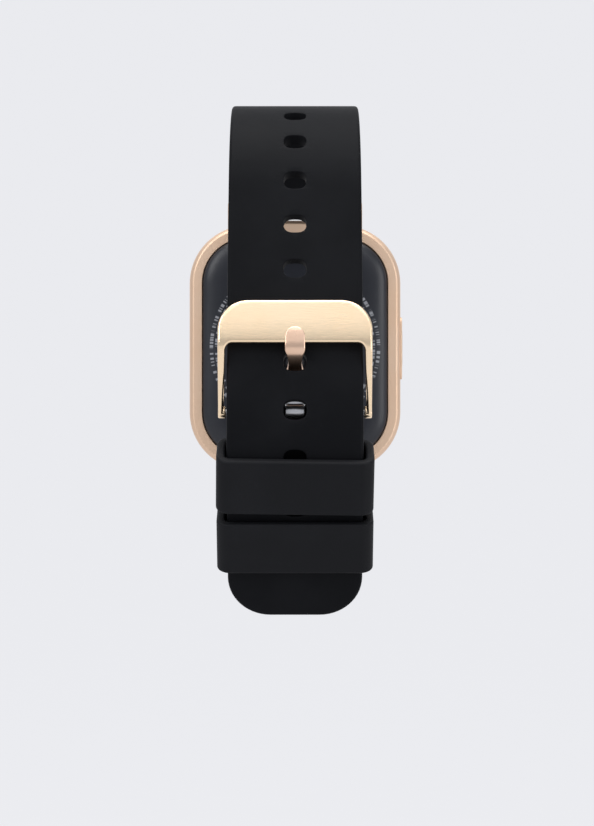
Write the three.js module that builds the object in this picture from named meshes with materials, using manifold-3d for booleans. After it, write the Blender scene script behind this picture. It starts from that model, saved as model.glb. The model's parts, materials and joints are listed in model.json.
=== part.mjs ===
// Smartwatch with a closed silicone band: a sealed metal case with its inner parts, and a two-piece
// band joined by a pin buckle. Millimetres. X runs across the band, Z along the case from the
// short strap's end (-Z) to the long strap's end (+Z), and the display faces +Y.
// The origin is the centre of the sensor window's flat face on the back of the case.
import * as THREE from "three";
import { mergeVertices } from "three/addons/utils/BufferGeometryUtils.js";
import Module from "manifold-3d";

const wasm = await Module();
wasm.setup();

// ---------------------------------------------------------------- free space between pieces
const RUN = 0.3; // between pieces that move against each other
const FIT = 0.15; // between a pin and its bore, and between pressed or clipped pieces
const SEAT = 0.1; // between pieces that are glued or screwed face to face
const CUT = 1; // how far a cutting shape runs past the face it cuts

// ---------------------------------------------------------------- driving sizes: the case
const CASE_WIDTH = 36;
const CASE_HALF_LENGTH = 21.75;
const CORNER_R = 9.9;
const CORNER_Z = CASE_HALF_LENGTH - 10.75; // height of the corner arcs' centres
const FRAME_BACK = 2.4; // Y of the metal frame's back edge
const FRAME_FRONT = 9.8; // Y of the metal frame's front edge
const FRAME_WALL = 2.4;
const RIM = 1.95; // width of the metal ring seen from the back
const FRAME_ROUND = { size: 0.9, depth: 2.4, steps: 3 }; // how its back and front edges are rounded
const COVER_BACK = 1.2; // Y of the flat part of the back cover
const COVER_FRONT = 3.5;
const COVER_RIM = 0.9; // thickness of the cover at its edge
const COVER_DOME = 3.4; // how far in from the edge the cover curves
const FLANGE = { y0: 4.1, y1: 4.7, inset: 3.4 }; // inner shelf that the back cover screws against
const GLASS = { y0: 9.9, y1: 11.2, inset: 0.9, edge: 0.55 };
const GLASS_STEP = { y: 9.3, inset: 1.1 }; // shelf for the gasket under the glass
const ISLAND_R = 0.515 * CASE_HALF_LENGTH; // raised round of the back cover, for the sensors
const ISLAND_BACK = 0.25;
const ISLAND_EDGE = 0.6; // chamfer round the island
const WINDOW_R = ISLAND_R - 1.7;
const WINDOW_THICKNESS = 0.9;
const WINDOW_LEDGE = 2; // width of the ledge that the window is glued to
const INNER_X = CASE_WIDTH / 2 - FRAME_WALL; // half width of the space for the electronics
const INNER_Z = CASE_HALF_LENGTH - FRAME_WALL;

// ---------------------------------------------------------------- driving sizes: inner pieces
const SENSOR_BOARD = { r: ISLAND_R - 0.8, y: 2.5, thickness: 0.6 };
const SENSOR_HOLE_R = WINDOW_R - WINDOW_LEDGE;
const LED = { r: 1.1, out: SENSOR_HOLE_R - 3.1 };
const PHOTODIODE = { r: 1.5, out: SENSOR_HOLE_R - 3.3 };
const CHIP_GAP = 0.3; // between the window and the sensor board's chips
const CHARGE_Z = -0.63 * CASE_HALF_LENGTH; // the contacts and magnets lie below the island
const CHARGE_PIN = { r: 0.9, x: 1.9 };
const MAGNET = { r: 2, x: 5.7, y: 2.4 };
const BATTERY = { halfX: INNER_X - 4.8, y0: 4.9, y1: 7.4, z0: 3.35 - INNER_Z, z1: 0.6,
  round: 1, edge: 0.4 };
const BOARD = { x0: 3.2 - INNER_X, x1: INNER_X - 8.1, y0: 6.6, y1: 7.4, z0: BATTERY.z1 + 1.4,
  z1: INNER_Z - 2.95 };
const SHIELD = { x0: BOARD.x0 + 4.4, x1: BOARD.x1 - 3.5, y: 5.2, z0: BOARD.z0 + 3.5,
  z1: BOARD.z1 - 3.4, wall: 0.25 };
const SCREW = { r: 0.45, headR: 0.9, head: 0.6, edge: 1.5, slot: 0.12, slotR: 0.6, slotDepth: 0.25 };
const PLATE = { y0: 7.75, y1: 8.1, inset: FRAME_WALL + 0.2 };
const FLEX = { half: 2.5, thickness: 0.12, onBoard: 2.6, onDisplay: 1.8, fold: INNER_Z - 1.95 };
const MOTOR = { x: INNER_X - 5.4, y: 6, r: 1.2, z: BOARD.z0 + 0.6, length: 6, shaftR: 0.3, weight: 3.1 };
const BUTTON = { z: -0.1, y: 6.1, halfLength: 3.75, halfHeight: 1.7, out: 0.35, press: 0.3 };
const BUTTON_PAD = { halfLength: 5.4, halfHeight: 2.4, out: 0.2, depth: 1 };
const POCKET_X = CASE_WIDTH / 2 - 1.5; // floor of the button's pocket
const STEM = { r: 0.8, groove: 0.25, past: 0.8 }; // how far it reaches past the wall
const SEAL_R = 0.25;
const CLIP = { r: 1.25, thickness: 0.26, gap: 0.45 };
const SWITCH = { depth: 1.2, halfY: 1, halfZ: 1.5 };

// ---------------------------------------------------------------- driving sizes: lugs and bars
const STRAP_WIDTH = 20; // the standard width that the lugs take
const STRAP_THICKNESS = 2;
const LUG_INNER = STRAP_WIDTH / 2 + FIT; // inner face of each lug
const LUG = { thickness: 1.25, r: 1.35, root: INNER_Z - 0.35, slope: 1, edge: 0.2 };
const KNUCKLE_R = 1.5; // rolled end of each strap
const BAR_Y = 3.5; // the spring bars' height above the window's face
const BAR_Z = CASE_HALF_LENGTH + FIT + KNUCKLE_R; // the case's edge is rounded away beside the knuckle
const TUBE_R = 0.75;
const TUBE_WALL = 0.22;
const PIN_R = 0.4;
const PIN_REACH = 0.75; // how far an extended pin enters its lug
const PIN_START = STRAP_WIDTH / 2 - 4; // X of a pin's inner end when it is extended
const PIN_TAIL = 2.5; // thin inner end of a pin, inside the spring
const PIN_RELEASE = PIN_REACH + 2 * FIT; // travel that frees a pin from its lug
const LEVER = { x: STRAP_WIDTH / 2 - 2, r: 0.5, length: 2.2, knob: 0.15, slot: 1, in: 2 };
const SPRING = { wire: 0.07, r: 0.36, turns: 6, steps: 48 };

// ---------------------------------------------------------------- driving sizes: the band
// Centre line of the long strap, from the spring bar: straight runs and arcs, headings in degrees.
const LEAVE = 25; // the strap leaves the bar this far off the case's length
const LEAD = 4.2; // straight run out of the lugs
const BOW_R = 18; // over the top of the wrist
const SHOULDER_R = 21;
const SHOULDER_END = 159.5;
const BACK_R = 200; // nearly straight run under the holes
const BACK_END = 168.8;
const TAIL_R = 30; // turn into the tail
const TAIL_END = 202;
const TAIL_LENGTH = 17;
const TIP_R = 6.3;
const STRAP_EDGE_R = 0.75;
const SWELL = 16; // length over which a strap thins from its rolled end
const CURVE_STEP = 7; // degrees turned between the straps' cross-sections
const HOLES = { count: 10, first: 35.2, pitch: 7.08, width: 3.4, height: 2.8 };
const BUCKLED_HOLE = 7;
const LAYER = STRAP_THICKNESS + RUN; // from the long strap's centre line to the short strap's

// ---------------------------------------------------------------- driving sizes: keepers, buckle
const KEEPER = { length: 8.1, wall: 1.3, gap: 1.2, side: 0.25, round: 2, edge: 0.35 };
const KEEPER_START = 13.9; // first keeper's start, past the buckled hole
const KEEPER_HALF = STRAP_WIDTH / 2 + KEEPER.side + KEEPER.wall;
const FRAME_OUT = STRAP_WIDTH / 2 + 1.3; // half width of the buckle frame
const BAR = { start: -8.7, length: 5.5, thickness: 1.8, corner: 4.5, elbow: 1.2 }; // from the hole
// Half width between the frame's arms, at the bar and at the pin.
const ARM = { bar: STRAP_WIDTH / 2 + 0.2, pin: STRAP_WIDTH / 2 + 0.55, round: 1, edge: 0.25 };
const BOSS_R = 1.5;
const BUCKLE_KNUCKLE_R = 1.45;
const TONGUE = { width: 3, neck: 2.2, thickness: 0.9, tip: -5.3 }; // narrower through the hole

const steel = { color: 0xe8d6bb, roughness: 0.25, metalness: 1 };
const gold = { color: 0xd2b8a0, roughness: 0.4, metalness: 1 };
const silicone = { color: 0x1f2024, roughness: 0.6, metalness: 0 };
const polymer = { color: 0x34363d, roughness: 0.5, metalness: 0 };
const rubberBlack = { color: 0x141416, roughness: 0.8, metalness: 0 };
const brightSteel = { color: 0xc8cacd, roughness: 0.3, metalness: 1 };
const board = { color: 0x123c2c, roughness: 0.5, metalness: 0 };
const aluminium = { color: 0x8f9297, roughness: 0.4, metalness: 1 };
const foil = { color: 0x5c6066, roughness: 0.6, metalness: 0 };
const clearEpoxy = { color: 0x9fe0a0, roughness: 0.2, metalness: 0 };
const darkEpoxy = { color: 0x22242c, roughness: 0.15, metalness: 0 };
const plated = { color: 0xd8b26a, roughness: 0.25, metalness: 1 };
const darkGlass = { color: 0x08090c, roughness: 0.05, metalness: 0 };
const film = { color: 0xb06a1c, roughness: 0.4, metalness: 0 };
const ROUND = 36; // sides of the large rounds
const rad = THREE.MathUtils.degToRad;
const watch = new THREE.Group();
watch.name = "smartwatch";

// ================================================================ solids
// A closed three.js geometry as a solid that can be cut and joined.
function solid(geometry) {
  const bare = geometry.clone();
  bare.deleteAttribute("normal");
  bare.deleteAttribute("uv");
  const merged = mergeVertices(bare, 1e-4);
  return new wasm.Manifold(
    new wasm.Mesh({
      numProp: 3,
      vertProperties: merged.attributes.position.array,
      triVerts: new Uint32Array(merged.index.array),
    }),
  );
}

// Adds a solid to the watch as a named piece with its own material.
function piece(name, body, look) {
  const mesh = body.getMesh();
  const geometry = new THREE.BufferGeometry();
  geometry.setAttribute("position", new THREE.BufferAttribute(mesh.vertProperties, 3));
  geometry.setIndex(new THREE.BufferAttribute(mesh.triVerts, 1));
  geometry.computeVertexNormals();
  const item = new THREE.Mesh(geometry, new THREE.MeshStandardMaterial(look));
  item.name = name;
  watch.add(item);
}

const cut = (body, ...tools) => tools.reduce((left, tool) => left.subtract(tool), body);
const join = (body, ...more) => more.reduce((whole, part) => whole.add(part), body);

// Basis changes: a shape drawn in its own x and y, extruded along its own z.
const ALONG_X = new THREE.Matrix4().makeBasis(
  new THREE.Vector3(0, 1, 0), new THREE.Vector3(0, 0, 1), new THREE.Vector3(1, 0, 0));
const ALONG_MINUS_Y = new THREE.Matrix4().makeBasis(
  new THREE.Vector3(1, 0, 0), new THREE.Vector3(0, 0, 1), new THREE.Vector3(0, -1, 0));

// A shape drawn in X and Z, from y0 to y1, with its edges rounded at each end where asked.
function slab(shape, y0, y1, round = {}) {
  const { size = 0, depth = 0, steps = 2, segments = 5 } = round;
  const geometry = new THREE.ExtrudeGeometry(shape, {
    depth: y1 - y0 - 2 * depth,
    bevelEnabled: size > 0,
    bevelSize: size,
    bevelOffset: -size,
    bevelThickness: depth,
    bevelSegments: steps,
    curveSegments: segments,
  });
  return solid(geometry.translate(0, 0, -(y1 - depth)).applyMatrix4(ALONG_MINUS_Y));
}

// A shape drawn in Y and Z, centred on X unless its start is given.
function profileAcross(shape, width, x0 = -width / 2, bevel = 0) {
  const geometry = new THREE.ExtrudeGeometry(shape, {
    depth: width - 2 * bevel,
    bevelEnabled: bevel > 0,
    bevelSize: bevel,
    bevelOffset: -bevel,
    bevelThickness: bevel,
    bevelSegments: 1,
    curveSegments: 7,
  });
  return solid(geometry.translate(0, 0, x0 + bevel).applyMatrix4(ALONG_X));
}

const block = (x0, x1, y0, y1, z0, z1) =>
  solid(new THREE.BoxGeometry(x1 - x0, y1 - y0, z1 - z0)
    .translate((x0 + x1) / 2, (y0 + y1) / 2, (z0 + z1) / 2));

const discY = (r, y0, y1, x = 0, z = 0, sides = 24) =>
  solid(new THREE.CylinderGeometry(r, r, y1 - y0, sides).translate(x, (y0 + y1) / 2, z));

const rodX = (r, x0, x1, y, z, sides = 16) =>
  solid(new THREE.CylinderGeometry(r, r, x1 - x0, sides)
    .rotateZ(Math.PI / 2).translate((x0 + x1) / 2, y, z));

const rodZ = (r, z0, z1, x, y, sides = 16) =>
  solid(new THREE.CylinderGeometry(r, r, z1 - z0, sides)
    .rotateX(Math.PI / 2).translate(x, y, (z0 + z1) / 2));

// ================================================================ the case outline
// Rounded rectangle whose short ends bow outwards, drawn in X and Z, inset all round.
function caseOutline(inset = 0) {
  const cornerX = CASE_WIDTH / 2 - CORNER_R;
  const apex = CASE_HALF_LENGTH - CORNER_R;
  const bowZ = (apex ** 2 - CORNER_Z ** 2 - cornerX ** 2) / (2 * (apex - CORNER_Z));
  const bowR = CASE_HALF_LENGTH - bowZ - inset;
  const turn = Math.PI / 2 - Math.atan2(cornerX, CORNER_Z - bowZ);
  const r = CORNER_R - inset;
  const shape = new THREE.Shape();
  shape.absarc(cornerX, CORNER_Z, r, 0, turn);
  shape.absarc(0, bowZ, bowR, turn, Math.PI - turn);
  shape.absarc(-cornerX, CORNER_Z, r, Math.PI - turn, Math.PI);
  shape.absarc(-cornerX, -CORNER_Z, r, Math.PI, Math.PI + turn);
  shape.absarc(0, -bowZ, bowR, Math.PI + turn, 2 * Math.PI - turn);
  shape.absarc(cornerX, -CORNER_Z, r, 2 * Math.PI - turn, 2 * Math.PI);
  return shape;
}

// A rectangle with rounded corners, centred across and running from y0 to y1.
function roundedBox(halfX, y0, y1, r) {
  const shape = new THREE.Shape();
  shape.absarc(halfX - r, y1 - r, r, 0, Math.PI / 2);
  shape.absarc(-halfX + r, y1 - r, r, Math.PI / 2, Math.PI);
  shape.absarc(-halfX + r, y0 + r, r, Math.PI, 1.5 * Math.PI);
  shape.absarc(halfX - r, y0 + r, r, 1.5 * Math.PI, 2 * Math.PI);
  return shape;
}

// A ring that follows the case outline, between two insets.
const outlineRing = (outer, inner, y0, y1) =>
  cut(slab(caseOutline(outer), y0, y1), slab(caseOutline(inner), y0 - CUT, y1 + CUT));

// A pill shape lying in the flank's plane, from x0 to x1.
function flankPill(halfLength, halfHeight, x0, x1, bevel = 0) {
  const shape = new THREE.Shape();
  shape.absarc(BUTTON.y, BUTTON.z + halfLength - halfHeight, halfHeight, 0, Math.PI);
  shape.absarc(BUTTON.y, BUTTON.z - halfLength + halfHeight, halfHeight, Math.PI, 2 * Math.PI);
  return profileAcross(shape, x1 - x0, x0, bevel);
}

// ================================================================ case pieces
// One of the four horns that hold the spring bars.
function lug(side, end) {
  const shape = new THREE.Shape();
  shape.moveTo(BAR_Y - LUG.r + 0.4, LUG.root);
  shape.lineTo(BAR_Y - LUG.r, BAR_Z);
  shape.absarc(BAR_Y, BAR_Z, LUG.r, Math.PI, 0, true);
  shape.lineTo(BAR_Y + 2 * LUG.r, CASE_HALF_LENGTH - LUG.slope);
  shape.lineTo(BAR_Y + 3 * LUG.r, LUG.root);
  shape.closePath();
  const x0 = side > 0 ? LUG_INNER : -LUG_INNER - LUG.thickness;
  const horn = profileAcross(shape, LUG.thickness, x0, LUG.edge);
  return end < 0 ? horn.mirror([0, 0, 1]) : horn;
}

function caseFrame() {
  const half = CASE_WIDTH / 2;
  const horns = [];
  const pinHoles = [];
  for (const side of [-1, 1])
    for (const end of [-1, 1]) {
      const hole = rodX(PIN_R + FIT, LUG_INNER - CUT, LUG_INNER + PIN_REACH + FIT, BAR_Y, end * BAR_Z);
      horns.push(lug(side, end));
      pinHoles.push(side > 0 ? hole : hole.mirror([1, 0, 0]));
    }
  const outside = join(slab(caseOutline(), FRAME_BACK, FRAME_FRONT, FRAME_ROUND),
    flankPill(BUTTON_PAD.halfLength, BUTTON_PAD.halfHeight, half - BUTTON_PAD.depth,
      half + BUTTON_PAD.out, FIT), ...horns);
  return cut(outside,
    slab(caseOutline(RIM), FRAME_BACK - CUT, FLANGE.y0),
    slab(caseOutline(FLANGE.inset), FRAME_BACK, FLANGE.y1 + CUT),
    slab(caseOutline(FRAME_WALL), FLANGE.y1, FRAME_FRONT + CUT),
    slab(caseOutline(GLASS_STEP.inset), GLASS_STEP.y, FRAME_FRONT + CUT),
    flankPill(BUTTON.halfLength + FIT, BUTTON.halfHeight + FIT, POCKET_X, half + CUT),
    rodX(STEM.r + 2 * RUN, INNER_X - CUT, POCKET_X + CUT, BUTTON.y, BUTTON.z), ...pinHoles);
}

function backCover() {
  const round = { size: COVER_DOME, depth: COVER_FRONT - COVER_BACK - COVER_RIM, steps: 3 };
  const dome = slab(caseOutline(RIM + SEAT), COVER_BACK, COVER_FRONT + round.depth, round)
    .intersect(block(-CASE_WIDTH, CASE_WIDTH, 0, COVER_FRONT, -CASE_WIDTH, CASE_WIDTH));
  const edge = new THREE.CylinderGeometry(ISLAND_R, ISLAND_R - ISLAND_EDGE, ISLAND_EDGE, ROUND);
  const island = join(solid(edge.translate(0, ISLAND_BACK + ISLAND_EDGE / 2, 0)),
    discY(ISLAND_R, ISLAND_BACK + ISLAND_EDGE, COVER_FRONT - COVER_RIM, 0, 0, ROUND));
  let body = cut(join(dome, island),
    discY(WINDOW_R + SEAT, -CUT, WINDOW_THICKNESS + SEAT, 0, 0, ROUND),
    discY(SENSOR_HOLE_R, 0, COVER_FRONT + CUT, 0, 0, ROUND),
    discY(SENSOR_BOARD.r + SEAT, SENSOR_BOARD.y - SEAT, COVER_FRONT + CUT, 0, 0, ROUND));
  for (const side of [-1, 1])
    body = cut(body,
      discY(CHARGE_PIN.r + SEAT, 0, COVER_FRONT + CUT, side * CHARGE_PIN.x, CHARGE_Z),
      discY(MAGNET.r + SEAT, MAGNET.y - SEAT, COVER_FRONT + CUT, side * MAGNET.x, CHARGE_Z));
  return body;
}

function frontPieces() {
  piece("front_glass", slab(caseOutline(GLASS.inset), GLASS.y0, GLASS.y1,
    { size: GLASS.edge, depth: GLASS.edge }), darkGlass);
  piece("glass_gasket", outlineRing(GLASS_STEP.inset + SEAT, FRAME_WALL - SEAT,
    GLASS_STEP.y + SEAT / 2, FRAME_FRONT), rubberBlack);
  piece("display_panel", slab(caseOutline(PLATE.inset), PLATE.y1 + 3 * SEAT, GLASS.y0 - SEAT / 2),
    darkGlass);
  piece("display_flex", displayFlex(), film);
  piece("back_gasket", outlineRing(RIM + FIT, FLANGE.inset - 4 * SEAT, COVER_FRONT + SEAT / 2,
    FLANGE.y0 - SEAT / 2), rubberBlack);
}

// A folded ribbon from the main board's front, through the plate's notch, to the display's back.
function displayFlex() {
  const { thickness, fold, onBoard, onDisplay, half } = FLEX;
  const low = BOARD.y1 + SEAT;
  const high = PLATE.y1 + SEAT;
  const outline = [
    [low, fold - onBoard], [low, fold + thickness], [high + thickness, fold + thickness],
    [high + thickness, fold - onDisplay], [high, fold - onDisplay], [high, fold],
    [low + thickness, fold], [low + thickness, fold - onBoard],
  ];
  return profileAcross(new THREE.Shape(outline.map(([y, z]) => new THREE.Vector2(y, z))), 2 * half);
}

// A screw whose cross-slotted head bears on the board's back, with its thread towards +Y.
function boardScrew(x, z) {
  const top = BOARD.y0 - SEAT / 2;
  const floor = BOARD.y0 - SCREW.head + SCREW.slotDepth;
  const slot = (halfX, halfZ) =>
    block(x - halfX, x + halfX, BOARD.y0 - CUT, floor, z - halfZ, z + halfZ);
  return cut(join(discY(SCREW.headR, BOARD.y0 - SCREW.head, top, x, z, 20),
    discY(SCREW.r, top - SEAT, PLATE.y1 - SEAT, x, z, 12)),
  slot(SCREW.slot, SCREW.slotR), slot(SCREW.slotR, SCREW.slot));
}

function boardPieces() {
  const notch = FLEX.half + RUN;
  let plate = cut(slab(caseOutline(PLATE.inset), PLATE.y0, PLATE.y1),
    block(-notch, notch, 0, CASE_WIDTH, FLEX.fold - 2 * RUN, CASE_WIDTH));
  let main = block(BOARD.x0, BOARD.x1, BOARD.y0, BOARD.y1, BOARD.z0, BOARD.z1);
  const { edge } = SCREW;
  const corners = [[BOARD.x0 + edge, BOARD.z0 + edge], [BOARD.x1 - edge, BOARD.z0 + edge],
    [BOARD.x0 + 2 * edge, BOARD.z1 - edge], [BOARD.x1 - edge, BOARD.z1 - edge]];
  corners.forEach(([x, z], index) => {
    const hole = discY(SCREW.r + FIT, 0, CASE_WIDTH, x, z, 16);
    plate = cut(plate, hole);
    main = cut(main, hole);
    piece(`board_screw_${index + 1}`, boardScrew(x, z), brightSteel);
  });
  piece("mid_plate", plate, aluminium);
  piece("main_board", main, board);
  const { x0, x1, y, z0, z1, wall } = SHIELD;
  piece("shield_can", cut(block(x0, x1, y, BOARD.y0 - SEAT, z0, z1),
    block(x0 + wall, x1 - wall, y + wall, BOARD.y0, z0 + wall, z1 - wall)), brightSteel);
  piece("battery", slab(roundedBox(BATTERY.halfX, BATTERY.z0, BATTERY.z1, BATTERY.round),
    BATTERY.y0, BATTERY.y1, { size: BATTERY.edge, depth: BATTERY.edge }), foil);
}

// The motor's can, and its shaft with a half-round weight that turns about the motor's axis.
function vibrationMotor() {
  const { x, y, r, z, length, shaftR, weight } = MOTOR;
  const end = z + length;
  const tip = end + RUN + weight;
  const half = block(0, x + shaftR / 2, 0, CASE_WIDTH, end, CASE_WIDTH);
  piece("motor_can", cut(rodZ(r, z, end, x, y, 24),
    rodZ(shaftR + FIT, z + length / 2, end + CUT, x, y)), brightSteel);
  piece("motor_rotor", join(rodZ(r, end + RUN, tip, x, y, 24).intersect(half),
    rodZ(shaftR, z + length / 2 + RUN, tip, x, y, 12)), aluminium);
}

function sensorPieces() {
  const circle = new THREE.Shape();
  circle.absarc(0, 0, WINDOW_R, 0, 2 * Math.PI);
  piece("sensor_window", slab(circle, 0, WINDOW_THICKNESS,
    { size: ISLAND_BACK, depth: ISLAND_BACK, segments: ROUND / 2 }), darkGlass);
  const { r, y, thickness } = SENSOR_BOARD;
  piece("sensor_board", discY(r, y, y + thickness, 0, 0, ROUND), board);
  const chip = (radius, x, z) => discY(radius, WINDOW_THICKNESS + CHIP_GAP, y - SEAT / 2, x, z, 20);
  [-1, 1].forEach((side, index) => {
    const name = ["left", "right"][index];
    piece(`sensor_led_${index + 1}`, chip(LED.r, 0, side * LED.out), clearEpoxy);
    piece(`photodiode_${index + 1}`, chip(PHOTODIODE.r, side * PHOTODIODE.out, 0), darkEpoxy);
    const x = side * CHARGE_PIN.x;
    piece(`charge_pin_${name}`, join(discY(CHARGE_PIN.r, COVER_BACK, COVER_FRONT, x, CHARGE_Z),
      discY(CHARGE_PIN.r / 2, COVER_FRONT - CUT, FLANGE.y1, x, CHARGE_Z, 12)), plated);
    piece(`charge_magnet_${name}`,
      discY(MAGNET.r, MAGNET.y, COVER_FRONT, side * MAGNET.x, CHARGE_Z), aluminium);
  });
}

function buttonPieces() {
  const { y, z } = BUTTON;
  const outer = CASE_WIDTH / 2 + BUTTON.out;
  const stemEnd = INNER_X - STEM.past;
  const clipEnd = INNER_X - FIT;
  const clipStart = clipEnd - CLIP.thickness;
  const neck = STEM.r - STEM.groove;
  const cap = flankPill(BUTTON.halfLength, BUTTON.halfHeight, POCKET_X + BUTTON.press + FIT, outer, 0.2);
  const groove = cut(rodX(STEM.r + CUT, clipStart - SEAT / 2, clipEnd + SEAT / 2, y, z),
    rodX(neck, clipStart - CUT, clipEnd + CUT, y, z));
  piece("side_button", join(cap, cut(rodX(STEM.r, stemEnd, outer - CUT, y, z, 24), groove)), gold);
  piece("button_seal", solid(new THREE.TorusGeometry(STEM.r + SEAL_R + SEAT, SEAL_R, 8, 20)
    .rotateY(Math.PI / 2).translate((INNER_X + POCKET_X) / 2, y, z)), rubberBlack);
  piece("button_clip", cut(rodX(CLIP.r, clipStart, clipEnd, y, z, 24),
    rodX(neck + SEAT / 2, clipStart - CUT, clipEnd + CUT, y, z, 24),
    block(clipStart - CUT, clipEnd + CUT, y, y + CUT + CLIP.r, z - CLIP.gap, z + CLIP.gap)), brightSteel);
  const face = stemEnd - BUTTON.press - SEAT;
  piece("button_switch", block(face - SWITCH.depth, face, y - SWITCH.halfY, y + SWITCH.halfY,
    z - SWITCH.halfZ, z + SWITCH.halfZ), polymer);
}

// ================================================================ the band's centre line
// Runs a pen along straight and curved pieces in the YZ plane. A heading of 0 goes along +Z and
// 90 goes along -Y; "side" is -1 for the short strap, which is drawn on the other end of the case.
function drawLine(start, heading, runs, side) {
  const marks = [];
  let { y, z } = start;
  let angle = rad(heading);
  let s = 0;
  const mark = () => marks.push({ s, y, z: side * z, angle });
  mark();
  for (const { length, r, to, steps } of runs) {
    const turn = r ? rad(to) - angle : 0;
    const count = steps ?? (r ? Math.max(2, Math.ceil(Math.abs(turn) / rad(CURVE_STEP))) : 3);
    for (let i = 0; i < count; i++) {
      const a0 = angle;
      const part = turn / count;
      const step = r ? r * part : length / count;
      angle += part;
      if (r) {
        y -= r * (Math.cos(a0) - Math.cos(angle));
        z += r * (Math.sin(angle) - Math.sin(a0));
      } else {
        y -= step * Math.sin(angle);
        z += step * Math.cos(angle);
      }
      s += step;
      mark();
    }
  }
  return marks;
}

const LONG_LINE = drawLine({ y: BAR_Y, z: BAR_Z }, LEAVE, [
  { length: LEAD },
  { r: BOW_R, to: 90 },
  { r: SHOULDER_R, to: SHOULDER_END },
  { r: BACK_R, to: BACK_END, steps: 4 },
  { r: TAIL_R, to: TAIL_END },
  { length: TAIL_LENGTH },
], 1);
const LONG_LENGTH = LONG_LINE[LONG_LINE.length - 1].s;
const BUCKLED = HOLES.first + (BUCKLED_HOLE - 1) * HOLES.pitch;
const KEEPERS = [0, 1].map((i) => BUCKLED + KEEPER_START + i * (KEEPER.length + KEEPER.gap));

// The point "n" outside the long strap's centre line at length s, with the heading there.
function onBand(s, n = 0) {
  const last = LONG_LINE.length - 1;
  let i = LONG_LINE.findIndex((mark) => mark.s > s);
  if (i < 0) i = last;
  const [a, b] = [LONG_LINE[i - 1], LONG_LINE[i]];
  const t = (s - a.s) / (b.s - a.s);
  const angle = a.angle + (b.angle - a.angle) * t;
  return {
    y: a.y + (b.y - a.y) * t + n * Math.cos(angle),
    z: a.z + (b.z - a.z) * t + n * Math.sin(angle),
    angle,
  };
}

// A solid drawn about its own origin, with X across, Y outwards and Z on towards the strap's tip,
// placed on the band.
function placed(body, s, n) {
  const { y, z, angle } = onBand(s, n);
  const turned = new THREE.Matrix4().makeBasis(
    new THREE.Vector3(1, 0, 0),
    new THREE.Vector3(0, Math.cos(angle), Math.sin(angle)),
    new THREE.Vector3(0, -Math.sin(angle), Math.cos(angle))).setPosition(0, y, z);
  return body.transform(turned.elements);
}

// ================================================================ straps
// Rounded-rectangle cross-section of a strap, as points across X and outwards.
function strapSection(halfWidth, halfThickness) {
  const r = Math.min(STRAP_EDGE_R, halfThickness * 0.75);
  const points = [];
  for (let corner = 0; corner < 4; corner++)
    for (let i = 0; i < 3; i++) {
      const a = (corner + i / 2) * Math.PI / 2;
      const x = (corner === 0 || corner === 3 ? 1 : -1) * (halfWidth - r) + r * Math.cos(a);
      const n = (corner < 2 ? 1 : -1) * (halfThickness - r) + r * Math.sin(a);
      points.push([x, n]);
    }
  return points;
}

// Sweeps the section through stations { y, z, angle, halfWidth, halfThickness, side }.
function sweepStrap(stations) {
  const position = [];
  const index = [];
  const rings = stations.map((at) => strapSection(at.halfWidth, at.halfThickness));
  stations.forEach((at, i) => {
    for (const [x, n] of rings[i])
      position.push(x, at.y + n * Math.cos(at.angle), at.z + at.side * n * Math.sin(at.angle));
  });
  const m = rings[0].length;
  const last = (stations.length - 1) * m;
  for (let i = 0; i < stations.length - 1; i++)
    for (let j = 0; j < m; j++) {
      const [a, b] = [i * m + j, i * m + ((j + 1) % m)];
      index.push(a, b, b + m, a, b + m, a + m);
    }
  for (let j = 1; j < m - 1; j++) index.push(0, j + 1, j, last, last + j, last + j + 1);
  if (stations[0].side < 0) for (let i = 0; i < index.length; i += 3)
    [index[i], index[i + 1]] = [index[i + 1], index[i]];
  const geometry = new THREE.BufferGeometry();
  geometry.setAttribute("position", new THREE.Float32BufferAttribute(position, 3));
  geometry.setIndex(index);
  const body = solid(geometry);
  return body.volume() < 0 ? solid(flipped(geometry)) : body;
}

function flipped(geometry) {
  const turned = geometry.clone();
  const { array } = turned.index;
  for (let i = 0; i < array.length; i += 3) [array[i], array[i + 1]] = [array[i + 1], array[i]];
  return turned;
}

// Half the strap's thickness: thick at the spring bar, then the plain strap.
function halfThicknessAt(s) {
  const fade = Math.min(1, s / SWELL);
  return (KNUCKLE_R - SEAT) * (1 - fade) + (STRAP_THICKNESS / 2) * fade;
}

// Takes the spring bar's bore and the lever's window out of a strap's rolled end.
function boreEnd(strap, y, z, side) {
  const open = block(LEVER.x - LEVER.in, LEVER.x + LEVER.slot, -2 * KNUCKLE_R, 0, -LEVER.slot, LEVER.slot)
    .rotate([side * LEAVE, 0, 0]).translate([0, y, z]);
  return cut(join(strap, rodX(KNUCKLE_R, -STRAP_WIDTH / 2, STRAP_WIDTH / 2, y, z, 28)),
    rodX(TUBE_R + FIT, -STRAP_WIDTH, STRAP_WIDTH, y, z, 20), open);
}

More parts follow.
